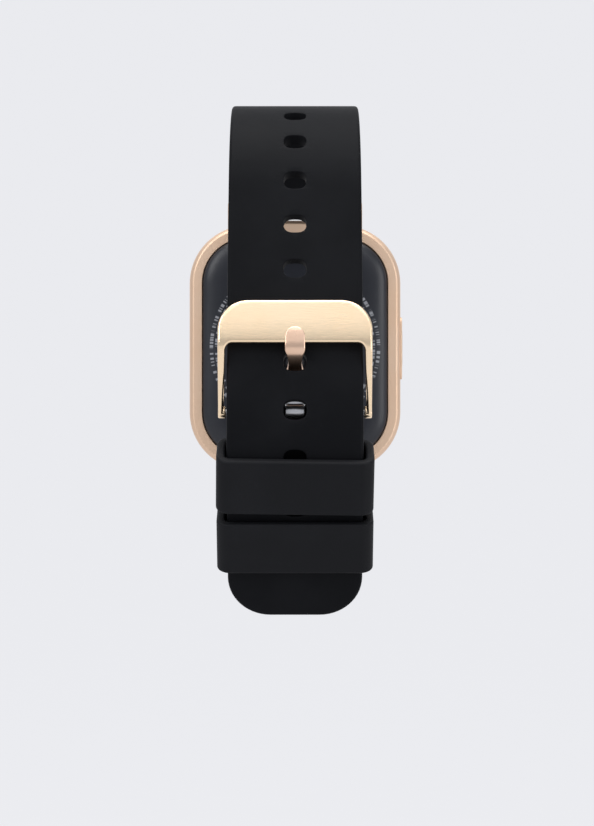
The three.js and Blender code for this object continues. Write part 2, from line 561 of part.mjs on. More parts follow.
function longStrap() {
  const half = STRAP_WIDTH / 2;
  const straightEnd = LONG_LENGTH - TIP_R;
  const stations = LONG_LINE.filter((mark) => mark.s < straightEnd - 0.5).map((mark) => ({ ...mark }));
  for (let i = 0; i <= 6; i++) {
    const t = (i / 6) * Math.PI / 2;
    const s = straightEnd + TIP_R * Math.sin(t);
    stations.push({ s, ...onBand(Math.min(s, LONG_LENGTH - 1e-6)), drop: TIP_R * (1 - Math.cos(t)) });
  }
  for (const at of stations) {
    at.side = 1;
    at.halfWidth = half - (at.drop ?? 0);
    at.halfThickness = halfThicknessAt(at.s);
  }
  let strap = boreEnd(sweepStrap(stations), BAR_Y, BAR_Z, 1);
  for (let i = 0; i < HOLES.count; i++) {
    const oval = new THREE.Shape();
    oval.absellipse(0, 0, HOLES.width / 2, HOLES.height / 2, 0, 2 * Math.PI);
    const tool = slab(oval, -2, 2, { segments: 8 });
    strap = cut(strap, placed(tool, HOLES.first + i * HOLES.pitch, 0));
  }
  return strap;
}

// ================================================================ buckle sizes on the band
const PIVOT_N = -(STRAP_THICKNESS / 2 + RUN + BUCKLE_KNUCKLE_R);
const PIVOT_S = BUCKLED + HOLES.pitch;
const PIVOT = onBand(PIVOT_S, PIVOT_N);
const HUB_R = BUCKLE_KNUCKLE_R - SEAT;
const BAR_N = STRAP_THICKNESS / 2 + RUN + BAR.thickness / 2;
const BAR_S = BUCKLED + BAR.start;
const JOIN_S = KEEPERS[1] + KEEPER.length + 0.8; // where the short strap turns away from the tail

// From its spring bar, round under the wrist, then up inside the tail to the buckle's pin.
function shortStrapLine() {
  const joint = onBand(JOIN_S, -LAYER);
  const turnIn = 75;
  const turnOut = 180 - turnIn;
  const tailHeading = 360 - TAIL_END;
  const hookR = STRAP_THICKNESS * 2.5;
  const [c, s] = [(deg) => Math.cos(rad(deg)), (deg) => Math.sin(rad(deg))];
  const down = -joint.z - BAR_Z;
  const back = BAR_Y - joint.y;
  const bowR = (down - LEAD * c(LEAVE) + hookR * (s(turnOut) - s(tailHeading))) / (s(turnIn) - s(LEAVE));
  const flatR = (back - LEAD * s(LEAVE) - bowR * (c(LEAVE) - c(turnIn))
    - hookR * (c(turnOut) - c(tailHeading))) / (c(turnIn) - c(turnOut));
  return drawLine({ y: BAR_Y, z: BAR_Z }, LEAVE, [
    { length: LEAD },
    { r: bowR, to: turnIn },
    { r: flatR, to: turnOut },
    { r: hookR, to: tailHeading },
  ], -1);
}

function shortStrap() {
  const half = STRAP_WIDTH / 2;
  const stations = shortStrapLine().map((at) => ({ ...at, halfThickness: halfThicknessAt(at.s) }));
  const top = PIVOT_S + BUCKLE_KNUCKLE_R;
  const count = 10;
  for (let i = 1; i <= count; i++) {
    const { y, z, angle } = onBand(JOIN_S + (top - JOIN_S) * (i / count), -LAYER);
    stations.push({ y, z, angle: 2 * Math.PI - angle, halfThickness: STRAP_THICKNESS / 2 });
  }
  stations.push({ ...stations[stations.length - 1], y: PIVOT.y, z: PIVOT.z });
  for (const at of stations) Object.assign(at, { side: -1, halfWidth: half });
  const strap = boreEnd(sweepStrap(stations), BAR_Y, -BAR_Z, -1);
  const slot = TONGUE.width / 2 + RUN;
  const reach = HUB_R + RUN;
  return cut(join(strap, rodX(BUCKLE_KNUCKLE_R, -half, half, PIVOT.y, PIVOT.z, 28)),
    rodX(TUBE_R + FIT, -half - CUT, half + CUT, PIVOT.y, PIVOT.z, 20),
    block(-slot, slot, PIVOT.y - 2 * reach, PIVOT.y + 2 * reach, PIVOT.z - reach, PIVOT.z + 2 * reach));
}

// ================================================================ keepers
// A loop round both straps. The first sits where they still curve, so it has room for that.
function keeper(start, curve) {
  const inside = { y0: -LAYER - STRAP_THICKNESS / 2 - RUN - curve, y1: STRAP_THICKNESS / 2 + RUN };
  const outer = roundedBox(KEEPER_HALF, inside.y0 - KEEPER.wall, inside.y1 + KEEPER.wall, KEEPER.round);
  const hole = roundedBox(KEEPER_HALF - KEEPER.wall, inside.y0, inside.y1, KEEPER.round / 2);
  const body = solid(new THREE.ExtrudeGeometry(outer, {
    depth: KEEPER.length - 2 * KEEPER.edge, bevelSize: KEEPER.edge, bevelOffset: -KEEPER.edge,
    bevelThickness: KEEPER.edge, bevelSegments: 2, curveSegments: 5,
  }).translate(0, 0, KEEPER.edge - KEEPER.length / 2));
  const opening = solid(new THREE.ExtrudeGeometry(hole, {
    depth: 2 * KEEPER.length, bevelEnabled: false, curveSegments: 4,
  }).translate(0, 0, -KEEPER.length));
  return placed(cut(body, opening), start + KEEPER.length / 2, 0);
}

// ================================================================ buckle
// Outline of a strip of varying thickness along a line of { y, z, half } points.
function strip(points) {
  const sides = points.map((at, i) => {
    const before = points[Math.max(0, i - 1)];
    const after = points[Math.min(points.length - 1, i + 1)];
    const normal = (a, b) => {
      const length = Math.hypot(b.y - a.y, b.z - a.z) || 1;
      return [-(b.z - a.z) / length, (b.y - a.y) / length];
    };
    const n0 = normal(before, i ? at : after);
    const n1 = normal(i < points.length - 1 ? at : before, after);
    const sum = [n0[0] + n1[0], n0[1] + n1[1]];
    const k = 2 / (sum[0] ** 2 + sum[1] ** 2);
    const off = [sum[0] * k * at.half, sum[1] * k * at.half];
    return [[at.y + off[0], at.z + off[1]], [at.y - off[0], at.z - off[1]]];
  });
  const outline = [...sides.map((pair) => pair[0]), ...sides.map((pair) => pair[1]).reverse()];
  return new THREE.Shape(outline.map(([y, z]) => new THREE.Vector2(y, z)));
}

function buckleFrame() {
  const outer = BAR_N + BAR.thickness / 2;
  const low = onBand(BAR_S + BAR.length, BAR_N);
  const line = [
    { ...PIVOT, half: BOSS_R - 2 * SEAT },
    { ...onBand(BAR_S + BAR.length + BAR.elbow, BAR_N - SEAT), half: BAR.thickness / 2 },
    { ...low, half: BAR.thickness / 2 },
    { ...onBand(BAR_S + BAR.length / 2, BAR_N), half: BAR.thickness / 2 },
    { ...onBand(BAR_S, BAR_N), half: BAR.thickness / 2 },
  ];
  const side = join(profileAcross(strip(line), 2 * FRAME_OUT, -FRAME_OUT, ARM.edge),
    rodX(BOSS_R, -FRAME_OUT, FRAME_OUT, PIVOT.y, PIVOT.z, 28));
  const top = onBand(BAR_S, outer).z;
  const bottom = PIVOT.z - 2 * BOSS_R;
  const front = new THREE.Shape();
  front.moveTo(-FRAME_OUT, bottom);
  front.lineTo(FRAME_OUT, bottom);
  front.absarc(FRAME_OUT - BAR.corner, top - BAR.corner, BAR.corner, 0, Math.PI / 2);
  front.absarc(-FRAME_OUT + BAR.corner, top - BAR.corner, BAR.corner, Math.PI / 2, Math.PI);
  const [near, far] = [PIVOT.y - FRAME_OUT, PIVOT.y + FRAME_OUT];
  const window = new THREE.Shape();
  const r = ARM.round;
  window.moveTo(-ARM.pin, bottom - CUT);
  window.lineTo(ARM.pin, bottom - CUT);
  window.lineTo(ARM.bar, low.z - r);
  window.absarc(ARM.bar - r, low.z - r, r, 0, Math.PI / 2);
  window.absarc(-ARM.bar + r, low.z - r, r, Math.PI / 2, Math.PI);
  const seatHalf = TONGUE.width / 2 + FIT;
  const seat = block(-seatHalf, seatHalf, 0, 2 * BAR.thickness, 0, BAR.length);
  return cut(side.intersect(slab(front, near, far)),
    slab(window, near - CUT, far + CUT),
    placed(seat, BUCKLED + TONGUE.tip - RUN, BAR_N),
    rodX(PIN_R + FIT, -FRAME_OUT - CUT, FRAME_OUT + CUT, PIVOT.y, PIVOT.z));
}

// From its hub on the buckle's pin, out through the strap's hole, to rest on the frame's bar.
function buckleTongue() {
  const half = TONGUE.thickness / 2;
  const rest = BAR_N + SEAT / 2 + half; // the tongue lies on the floor of the bar's recess
  const clear = STRAP_THICKNESS / 2 + RUN; // just off either face of the strap
  const line = [[4.6, -LAYER], [1.5, RUN - LAYER], [0.6, -clear], [-0.6, clear], [-1.15, clear + 1],
    [-1.8, rest], [TONGUE.tip, rest]].map(([s, n]) => ({ ...onBand(BUCKLED + s, n), half }));
  const side = join(profileAcross(strip([{ ...PIVOT, half: half + SEAT }, ...line]), TONGUE.width),
    rodX(HUB_R, -TONGUE.width / 2, TONGUE.width / 2, PIVOT.y, PIVOT.z, 24));
  const at = (s, n) => onBand(BUCKLED + s, n).z;
  const wide = TONGUE.width / 2;
  const neck = TONGUE.neck / 2;
  const right = [[wide, PIVOT.z - 2 * HUB_R], [wide, at(3, -LAYER)], [neck, at(1.9, -LAYER)],
    [neck, at(-0.8, clear)], [wide, at(-1.7, rest)]];
  const plan = new THREE.Shape();
  plan.moveTo(-wide, right[0][1]);
  for (const [x, z] of right) plan.lineTo(x, z);
  plan.absarc(0, at(TONGUE.tip, rest) - wide, wide, 0, Math.PI);
  for (const [x, z] of right.reverse()) plan.lineTo(-x, z);
  return cut(side.intersect(slab(plan, PIVOT.y - FRAME_OUT, PIVOT.y + FRAME_OUT)),
    rodX(TUBE_R + FIT, -TONGUE.width, TONGUE.width, PIVOT.y, PIVOT.z, 20));
}

// ================================================================ spring bars
class Coil extends THREE.Curve {
  constructor(half, r, turns, y, z) {
    super();
    Object.assign(this, { half, r, turns, y, z });
  }
  getPoint(t, target = new THREE.Vector3()) {
    const a = 2 * Math.PI * this.turns * t;
    const [y, z] = [this.y + this.r * Math.cos(a), this.z + this.r * Math.sin(a)];
    return target.set(this.half * (2 * t - 1), y, z);
  }
}

// A tube that holds two sprung pins. "outer" is the X of an extended pin's end, "drawn" how far
// both pins are drawn in from there, and "side" the end of the case whose lever it carries.
function springBar(name, { y, z, tubeHalf, outer, drawn, side }) {
  const leverSlot = (body) => body.rotate([side * LEAVE, 0, 0]).translate([0, y, z]);
  let tube = cut(rodX(TUBE_R, -tubeHalf, tubeHalf, y, z, 20),
    rodX(TUBE_R - TUBE_WALL, -tubeHalf - CUT, tubeHalf + CUT, y, z, 16));
  const half = LEVER.r + FIT;
  const slot = () => block(LEVER.x - LEVER.in, LEVER.x + LEVER.slot, -CUT, -FIT, -half, half);
  if (side) tube = cut(tube, leverSlot(slot()));
  piece(`${name}_tube`, tube, brightSteel);
  const pin = join(rodX(PIN_R, PIN_START - drawn, outer - drawn, y, z),
    rodX(PIN_R / 2, PIN_START - drawn - PIN_TAIL, PIN_START, y, z, 8));
  piece(`${name}_pin_right`, pin, brightSteel);
  piece(`${name}_pin_left`, pin.mirror([1, 0, 0]), brightSteel);
  if (side) {
    const x = LEVER.x - drawn;
    const knob = join(discY(LEVER.r, -LEVER.length, -PIN_R - SEAT / 2, x, 0, 16),
      discY(LEVER.r + LEVER.knob, -LEVER.length - 2 * LEVER.knob, -LEVER.length + SEAT, x, 0, 16));
    piece(`${name}_lever`, leverSlot(knob), brightSteel);
  }
  const wire = new THREE.Shape();
  wire.absarc(0, 0, SPRING.wire, 0, 2 * Math.PI);
  const coil = new THREE.ExtrudeGeometry(wire, {
    steps: SPRING.steps, curveSegments: 2, bevelEnabled: false,
    extrudePath: new Coil(PIN_START - PIN_RELEASE - FIT, SPRING.r, SPRING.turns, y, z),
  });
  piece(`${name}_spring`, solid(coil), brightSteel);
}

// ================================================================ the whole watch
function caseGroup() {
  piece("case_frame", caseFrame(), gold);
  piece("back_cover", backCover(), polymer);
  frontPieces();
  boardPieces();
  vibrationMotor();
  sensorPieces();
  buttonPieces();
}

function bandGroup() {
  piece("long_strap", longStrap(), silicone);
  piece("short_strap", shortStrap(), silicone);
  piece("keeper_fixed", keeper(KEEPERS[0], 0.3), silicone);
  piece("keeper_free", keeper(KEEPERS[1], 0), silicone);
  piece("buckle_frame", buckleFrame(), steel);
  piece("buckle_tongue", buckleTongue(), steel);
  const lugBar = { y: BAR_Y, tubeHalf: STRAP_WIDTH / 2 - RUN, outer: LUG_INNER + PIN_REACH };
  springBar("long_bar", { ...lugBar, z: BAR_Z, drawn: 0, side: 1 });
  springBar("short_bar", { ...lugBar, z: -BAR_Z, drawn: PIN_RELEASE, side: -1 });
  springBar("buckle_bar", { y: PIVOT.y, z: PIVOT.z, tubeHalf: STRAP_WIDTH / 2 - FIT,
    outer: FRAME_OUT - SEAT, drawn: 0, side: 0 });
}

caseGroup();
bandGroup();
export default watch;
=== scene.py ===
# %% [markdown]
# # A smartwatch with its band buckled
#
# A CAD model says where every part of this watch sits and how it moves. Its surfaces are made of
# flat facets, though, and have no finish. In this lesson we keep the CAD model as a fixed frame
# and build what the eye sees around it: a soft silicone band, a polished buckle and a satin metal
# case. The band closes in a loop behind the case, so we look at the watch from its buckle side.

# %% Load the CAD frame
import json
from bisect import bisect_right
from math import atan2, copysign, cos, pi, radians, sin

import bmesh
import bpy
from mathutils import Matrix, Vector


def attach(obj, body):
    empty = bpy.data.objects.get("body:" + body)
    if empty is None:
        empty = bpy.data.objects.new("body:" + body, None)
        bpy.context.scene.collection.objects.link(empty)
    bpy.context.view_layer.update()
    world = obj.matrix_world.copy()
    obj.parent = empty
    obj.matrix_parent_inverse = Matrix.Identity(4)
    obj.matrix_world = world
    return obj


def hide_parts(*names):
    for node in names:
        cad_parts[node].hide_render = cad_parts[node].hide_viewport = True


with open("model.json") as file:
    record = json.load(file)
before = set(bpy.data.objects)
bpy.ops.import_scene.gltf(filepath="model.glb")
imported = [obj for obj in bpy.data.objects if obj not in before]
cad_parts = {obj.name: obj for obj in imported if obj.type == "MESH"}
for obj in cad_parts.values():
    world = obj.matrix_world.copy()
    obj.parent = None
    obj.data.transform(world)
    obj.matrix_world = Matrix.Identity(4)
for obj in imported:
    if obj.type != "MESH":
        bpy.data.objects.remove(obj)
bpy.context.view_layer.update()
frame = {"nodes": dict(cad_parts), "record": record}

MM = 0.001  # we model in millimetres, and turn each finished piece into metres

# %% [markdown]
# ## Sizes
#
# Everything that has to meet a CAD part repeats that part's size. X runs across the band, Z along
# the case, and the display faces +Y. A "heading" is the direction of the band in the YZ plane: 0
# goes up along +Z, and 90 goes away from the display, along -Y.

# %% Sizes shared with the CAD model, in millimetres
RUN, FIT, SEAT = 0.3, 0.15, 0.1  # gaps: moving, pressed, glued
CASE_WIDTH, CASE_HALF, CORNER_R, CORNER_Z = 36, 21.75, 9.9, 11.0
BAR_Y, BAR_Z = 3.5, 23.4  # the spring bars at the case
STRAP_WIDTH, STRAP_THICKNESS, STRAP_EDGE = 20, 2, 0.55
KNUCKLE_R, BUCKLE_KNUCKLE_R, BORE_R = 1.5, 1.45, 0.9
LAYER = STRAP_THICKNESS + RUN  # from one strap's middle to the other's
HOLES = [35.2 + 7.08 * i for i in range(10)]
HOLE_WIDTH, HOLE_HEIGHT = 3.4, 2.8
BUCKLED = HOLES[6]
KEEPER_LENGTH, KEEPER_WALL, KEEPER_HALF = 8.1, 1.3, 11.55
KEEPERS = [BUCKLED + 13.9, BUCKLED + 23.2]
BAR_START, BAR_LENGTH, BAR_THICK, FRAME_HALF = BUCKLED - 8.7, 5.5, 1.8, 11.3
BAR_N = STRAP_THICKNESS / 2 + RUN + BAR_THICK / 2
TONGUE_WIDTH, TONGUE_THICK, TONGUE_TIP = 3, 0.9, BUCKLED - 5.3
print("keepers start at", [round(s, 2) for s in KEEPERS], "mm along the strap")

# %% [markdown]
# ## A line to bend things along
#
# Straps, buckle and tongue are all strips that were flat once. The easy way to make a curved
# strip is to shape it flat, where its holes and rounded edges are simple, and to bend it last.
# For that we need a path: given a length s along it and a distance n off it, it answers with a
# point.

# %% Paths
class Path:
    """A line in the YZ plane, measured by its length. side is -1 where outwards is on its left."""

    def __init__(self, points, side=1):
        self.points, self.side, self.marks = points, side, [0.0]
        for a, b in zip(points, points[1:]):
            self.marks.append(self.marks[-1] + (b - a).length)
        legs = [(b - a).normalized() for a, b in zip(points, points[1:])]
        between = [(a + b).normalized() for a, b in zip(legs, legs[1:])]
        self.ways = [legs[0], *between, legs[-1]]
        self.length = self.marks[-1]

    def way(self, s):
        """Index, share and direction of the path at length s."""
        i = min(max(bisect_right(self.marks, s) - 1, 0), len(self.points) - 2)
        t = (s - self.marks[i]) / (self.marks[i + 1] - self.marks[i])
        return i, t, self.ways[i].lerp(self.ways[i + 1], min(max(t, 0), 1)).normalized()

    def at(self, s, n=0.0):
        """The point n outwards of the path at length s. Past its ends it runs on straight."""
        i, t, way = self.way(s)
        place = self.points[i].lerp(self.points[i + 1], t)
        return place + Vector((way[1], -way[0])) * n * self.side


def walk(y, z, heading, *runs):
    """Points along straight runs, each (length,), and arcs, each (radius, heading to turn to)."""
    points, a = [Vector((y, z))], radians(heading)
    for size, *to in runs:
        turn = radians(to[0]) - a if to else 0.0
        count = max(2, round(size * (abs(turn) if to else 1) / 0.25))
        chord = 2 * size * sin(abs(turn) / count / 2) if to else size / count
        for _ in range(count):
            a += turn / count / 2
            points.append(points[-1] + Vector((-sin(a), cos(a))) * chord)
            a += turn / count / 2
    return points


def soften(points, rounds=3):
    """Cuts the corners off a line, round after round, so that it turns smoothly."""
    for _ in range(rounds):
        cut = [p for a, b in zip(points, points[1:]) for p in (a.lerp(b, 0.25), a.lerp(b, 0.75))]
        points = [points[0], *cut, points[-1]]
    return points


# %% [markdown]
# The long strap leaves its spring bar, bows over the wrist and comes down behind it, nearly
# straight where the holes are. The short strap comes round underneath and runs up inside the long
# one. Its two large curves are worked out so that it arrives there at the right place and
# heading.

# %% The band's two paths
LONG = Path(walk(BAR_Y, BAR_Z, 25, (4.2,), (18, 90), (21, 159.5), (200, 168.8), (30, 202),
                 (17,)))
PIVOT_S = BUCKLED + 7.08
PIVOT = LONG.at(PIVOT_S, -STRAP_THICKNESS / 2 - RUN - BUCKLE_KNUCKLE_R)
JOIN_S = KEEPERS[1] + KEEPER_LENGTH + 0.8


def short_points():
    """From the lower spring bar up to where it meets the long strap, then on to the buckle."""
    def turns(first, second):
        a, b = radians(first), radians(second)
        return sin(b) - sin(a), cos(a) - cos(b)
    hook, arrive = 5, 158
    goal = LONG.at(JOIN_S, -LAYER)
    bow, flat, last = turns(25, 75), turns(75, 105), turns(105, arrive)
    down = -goal[1] - BAR_Z - 4.2 * cos(radians(25)) - hook * last[0]
    back = BAR_Y - goal[0] - 4.2 * sin(radians(25)) - hook * last[1]
    bow_r = down / bow[0]
    flat_r = (back - bow_r * bow[1]) / flat[1]
    way = walk(BAR_Y, BAR_Z, 25, (4.2,), (bow_r, 75), (flat_r, 105), (hook, arrive))
    way = [Vector((p[0], -p[1])) for p in way[:-1]]
    rise = JOIN_S - PIVOT_S - BUCKLE_KNUCKLE_R
    return [*way, *(LONG.at(JOIN_S - rise * i / 60, -LAYER) for i in range(61)), PIVOT]


SHORT = Path(short_points(), side=-1)
print(f"long strap {LONG.length:.1f} mm, short strap {SHORT.length:.1f} mm")

# %% [markdown]
# ## Modelling helpers
#
# A few moves come back for every piece: slicing a mesh so that it can bend, giving a flat shape
# its thickness, rounding the edges that are sharp, and cutting one closed shape out of another.

# %% Shaping helpers
def slice_at(bm, places, axis=(0, 1, 0), simple=False):
    """Adds a cut straight across the mesh at each place along the axis. Large faces with many
    corners don't cut cleanly, so simple=True makes triangles of everything first."""
    if simple:
        bmesh.ops.triangulate(bm, faces=bm.faces[:])
    for place in places:
        bmesh.ops.bisect_plane(bm, geom=bm.verts[:] + bm.edges[:] + bm.faces[:], dist=1e-5,
                               plane_co=Vector(axis) * place, plane_no=axis)


def steps(start, end, size):
    """Evenly spaced places between start and end, about size apart."""
    count = max(1, round((end - start) / size))
    return [start + (end - start) * i / count for i in range(1, count)]


def thicken(bm, thickness):
    """Turns a flat shape into a slab, half of it on each side."""
    made = bmesh.ops.extrude_face_region(bm, geom=bm.faces[:])
    top = [v for v in made["geom"] if isinstance(v, bmesh.types.BMVert)]
    bmesh.ops.translate(bm, verts=top, vec=(0, 0, thickness))
    bmesh.ops.translate(bm, verts=bm.verts, vec=(0, 0, -thickness / 2))
    bmesh.ops.recalc_face_normals(bm, faces=bm.faces)


def round_edges(bm, size, segments, chosen=lambda e: True):
    """Rounds the chosen ones of the edges that turn by more than 30 degrees."""
    edges = [e for e in bm.edges if e.calc_face_angle(0) > radians(30) and chosen(e)]
    bmesh.ops.bevel(bm, geom=edges, affect="EDGES", offset=size, offset_type="OFFSET",
                    segments=segments, profile=0.5, material=-1)


def round_corners(bm, verts, size, segments=10):
    """Rounds corners of a flat outline."""
    bmesh.ops.bevel(bm, geom=verts, affect="VERTICES", offset=size, offset_type="OFFSET",
                    segments=segments, profile=0.5, material=-1)


def bend(bm, path, swell=lambda s: 1.0):
    """Moves every point (across, along, off) of a flat mesh onto the path."""
    for v in bm.verts:
        across, s, n = v.co
        v.co = (across, *path.at(s, n * swell(s)))
    bmesh.ops.recalc_face_normals(bm, faces=bm.faces)


def rod(bm, r, x0, x1, y, z, sides=40):
    """Adds a closed rod along X."""
    turned = Matrix.Translation(((x0 + x1) / 2, y, z)) @ Matrix.Rotation(pi / 2, 4, "Y")
    bmesh.ops.create_cone(bm, cap_ends=True, segments=sides, radius1=r, radius2=r, depth=x1 - x0,
                          matrix=turned)
    return bm


def disc(bm, r, y0, y1, x=0.0, z=0.0):
    """Adds a closed rod along Y."""
    turned = Matrix.Translation((x, (y0 + y1) / 2, z)) @ Matrix.Rotation(pi / 2, 4, "X")
    bmesh.ops.create_cone(bm, cap_ends=True, segments=40, radius1=r, radius2=r, depth=y1 - y0,
                          matrix=turned)
    return bm


# %% [markdown]
# A Boolean modifier cuts or joins closed shapes. We use it only where two forms really meet, such
# as the bore through a strap's rolled end. The tool can hold several closed shapes at once.

# %% Cutting and joining
def carve(bm, tool, how="DIFFERENCE"):
    """Cuts the tool out of bm, or joins it on, and gives back the new mesh."""
    pair = []
    for part in (bm, tool):
        bmesh.ops.recalc_face_normals(part, faces=part.faces)
        mesh = bpy.data.meshes.new("carving")
        part.to_mesh(mesh)
        part.free()
        pair.append(bpy.data.objects.new("carving", mesh))
        bpy.context.collection.objects.link(pair[-1])
    modifier = pair[0].modifiers.new("carve", "BOOLEAN")
    modifier.object, modifier.operation, modifier.solver = pair[1], how, "EXACT"
    made = bmesh.new()
    made.from_object(pair[0], bpy.context.evaluated_depsgraph_get())
    for o in pair:
        bpy.data.meshes.remove(o.data)
    return made


# %% [markdown]
# ## Materials
#
# A finish is a small network of nodes. Written out by hand, each one takes a page, so we wrap a
# node's output in a class that understands + - * /. A sum in Python then adds the Math node for
# us.

# %% A small language for shaders
class Wire:
    """The output of a node. Arithmetic with it adds Math nodes to its material."""

    def __init__(self, look, socket):
        self.look, self.socket = look, socket

    def math(self, operation, *values):
        return self.look.node("ShaderNodeMath", {"operation": operation}, dict(enumerate(values)))

    def __add__(self, other):
        return self.math("ADD", self, other)

    def __sub__(self, other):
        return self.math("SUBTRACT", self, other)

    def __rsub__(self, other):
        return self.math("SUBTRACT", other, self)

    def __mul__(self, other):
        return self.math("MULTIPLY", self, other)

    def __pow__(self, other):
        return self.math("POWER", self, other)

    __radd__, __rmul__ = __add__, __mul__


class Look:
    """A material under construction, with one Principled shader."""

    def __init__(self, name, **constants):
        self.name = name
        self.material = bpy.data.materials.new(name + "_finish")
        self.material.use_nodes = True
        self.tree = self.material.node_tree
        self.shader = self.tree.nodes["Principled BSDF"]
        self.place = self.node("ShaderNodeTexCoord", output="Object")
        self.set(**constants)

    def node(self, kind, settings=None, inputs=None, output=0):
        """Adds any node: its settings first, then the values or wires of its sockets."""
        made = self.tree.nodes.new(kind)
        for name, value in (settings or {}).items():
            setattr(made, name, value)
        for name, value in (inputs or {}).items():
            self.plug(made.inputs[name], value)
        return Wire(self, made.outputs[output])

    def plug(self, socket, value):
        if isinstance(value, Wire):
            self.tree.links.new(value.socket, socket)
        elif socket.type == "RGBA":
            socket.default_value = (*value[:3], 1)
        else:
            socket.default_value = value

    def set(self, **sockets):
        """Sets or links the shader's own sockets: Base_Color is the socket Base Color."""
        for name, value in sockets.items():
            self.plug(self.shader.inputs[name.replace("_", " ")], value)
        return self

    def noise(self, size, detail=2, stretch=(1, 1, 1)):
        """Noise whose cells are about size metres across, stretched along the axes."""
        placed = self.node("ShaderNodeMapping", inputs={
            "Vector": self.place, "Scale": [1 / (size * s) for s in stretch]})
        return self.node("ShaderNodeTexNoise", inputs={
            "Vector": placed, "Scale": 1.0, "Detail": detail, "Roughness": 0.55})

    def axis(self, name):
        """One coordinate of the surface, in millimetres."""
        apart = self.tree.nodes.new("ShaderNodeSeparateXYZ")
        self.plug(apart.inputs[0], self.place)
        return Wire(self, apart.outputs[name]) * (1 / MM)

    def fade(self, value, low, high):
        """0 where value is under low, 1 over high, and smooth between."""
        return self.node("ShaderNodeMapRange", {"interpolation_type": "SMOOTHSTEP"}, {
            "Value": value, "From Min": low, "From Max": high})

    def mix(self, factor, a, b):
        """Colour a where factor is 0, and colour b where it is 1."""
        return self.node("ShaderNodeMix", {"data_type": "RGBA"}, {0: factor, 6: a, 7: b}, 2)

    def layer(self, mask, colour):
        """Lays another colour over the present one where mask is 1."""
        under = self.shader.inputs["Base Color"].links[0].from_socket
        return self.set(Base_Color=self.mix(mask, Wire(self, under), colour))

    def bump(self, height, distance):
        """Tilts the shading as if the surface rose by height times distance, in metres."""
        normal = self.node("ShaderNodeBump", inputs={
            "Height": height, "Distance": distance, "Strength": 1.0})
        return self.set(Normal=normal)


# %% [markdown]
# ### Soft surfaces
#
# Silicone is moulded in a finely blasted tool, so it is matt: it has a very fine grain, and it
# picks up a little lint and skin oil, which show as slow changes in how it shines. The straps are
# a touch lighter where they have been handled. The keepers come from another mould, with a
# slightly coarser grain. The same recipe, with other numbers, gives the rubber seals and moulded
# plastics.

# %% Moulded materials
def moulded(name, colour, worn, rough, grain, depth, specular=0.5):
    look = Look(name, Specular_IOR_Level=specular)
    clouds = look.noise(0.011, 3)
    fine = look.noise(grain, 2)
    specks = look.fade(look.noise(0.0009, 1), 0.69, 0.76)
    handled = look.fade(clouds, 0.35, 0.7)
    look.set(Base_Color=look.mix(specks * 0.25, look.mix(handled * 0.6, colour, worn), worn),
             Roughness=rough + (clouds - 0.5) * 0.18 + (fine - 0.5) * 0.1)
    return look.bump(fine, depth)


SILICONE = moulded("silicone", (0.0042, 0.0045, 0.0056), (0.0075, 0.0079, 0.0094), 0.56,
                   0.00011, 0.00001, specular=0.06)
KEEPER_SILICONE = moulded("keeper_silicone", (0.0055, 0.0058, 0.0072), (0.009, 0.0095, 0.0115),
                          0.6, 0.00016, 0.000014, specular=0.13)
GASKET = moulded("gasket", (0.008, 0.008, 0.009), (0.014, 0.014, 0.015), 0.7, 0.0002, 0.00002)
SWITCH = moulded("switch", (0.03, 0.03, 0.033), (0.05, 0.05, 0.055), 0.45, 0.00015, 0.00001)
print("moulded materials made")

# %% [markdown]
# ### Metals
#
# The case is blasted and then plated, so it has an even, tiny sparkle. The buckle is polished but
# lightly brushed along its bar. The tongue is given a darker, pinker gold than the buckle. Both
# wear in the same way: slow changes in colour where hands touch them, fine dents in the grain, and
# a shine that isn't the same everywhere.

# %% Metal materials
def metal(name, colour, warm, rough, grain, depth, brushed=(1, 1, 1)):
    look = Look(name, Metallic=1.0)
    clouds = look.noise(0.008, 3)
    fine = look.noise(grain, 2, brushed)
    look.set(Base_Color=look.mix(look.fade(clouds, 0.3, 0.75), colour, warm),
             Roughness=rough + (clouds - 0.5) * 0.1 + (fine - 0.5) * 0.12)
    return look.bump(fine, depth)


CASE_GOLD = metal("case_gold", (0.79, 0.59, 0.44), (0.77, 0.56, 0.405), 0.55, 0.00012, 0.000006)
BUCKLE_GOLD = metal("buckle_gold", (1.0, 0.79, 0.55), (0.98, 0.755, 0.51), 0.24, 0.00012,
                    0.0000025, brushed=(14, 1, 1))
TONGUE_GOLD = metal("tongue_gold", (0.84, 0.59, 0.44), (0.82, 0.565, 0.41), 0.3, 0.00012,
                    0.0000025, brushed=(1, 6, 6))
STEEL = metal("steel", (0.62, 0.63, 0.65), (0.56, 0.565, 0.58), 0.28, 0.0001, 0.000002,
              brushed=(1, 8, 8))
PLATE = metal("plate", (0.42, 0.43, 0.45), (0.36, 0.37, 0.39), 0.42, 0.0003, 0.000004,
              brushed=(9, 1, 1))
MAGNET = metal("magnet", (0.5, 0.49, 0.46), (0.44, 0.43, 0.4), 0.3, 0.00014, 0.000002)
CONTACT = metal("contact_gold", (0.9, 0.66, 0.3), (0.84, 0.58, 0.24), 0.22, 0.0001, 0.000002)
print("metals made")

# %% [markdown]
# ### The back cover
#
# The cover is black plastic with a fine matt coating. Round the sensor runs a printed ring. On a
# real watch it carries small print. Ours has two rows of plain dashes: noise read along the angle
# round the centre breaks each row up, and the rows fade out above and below.

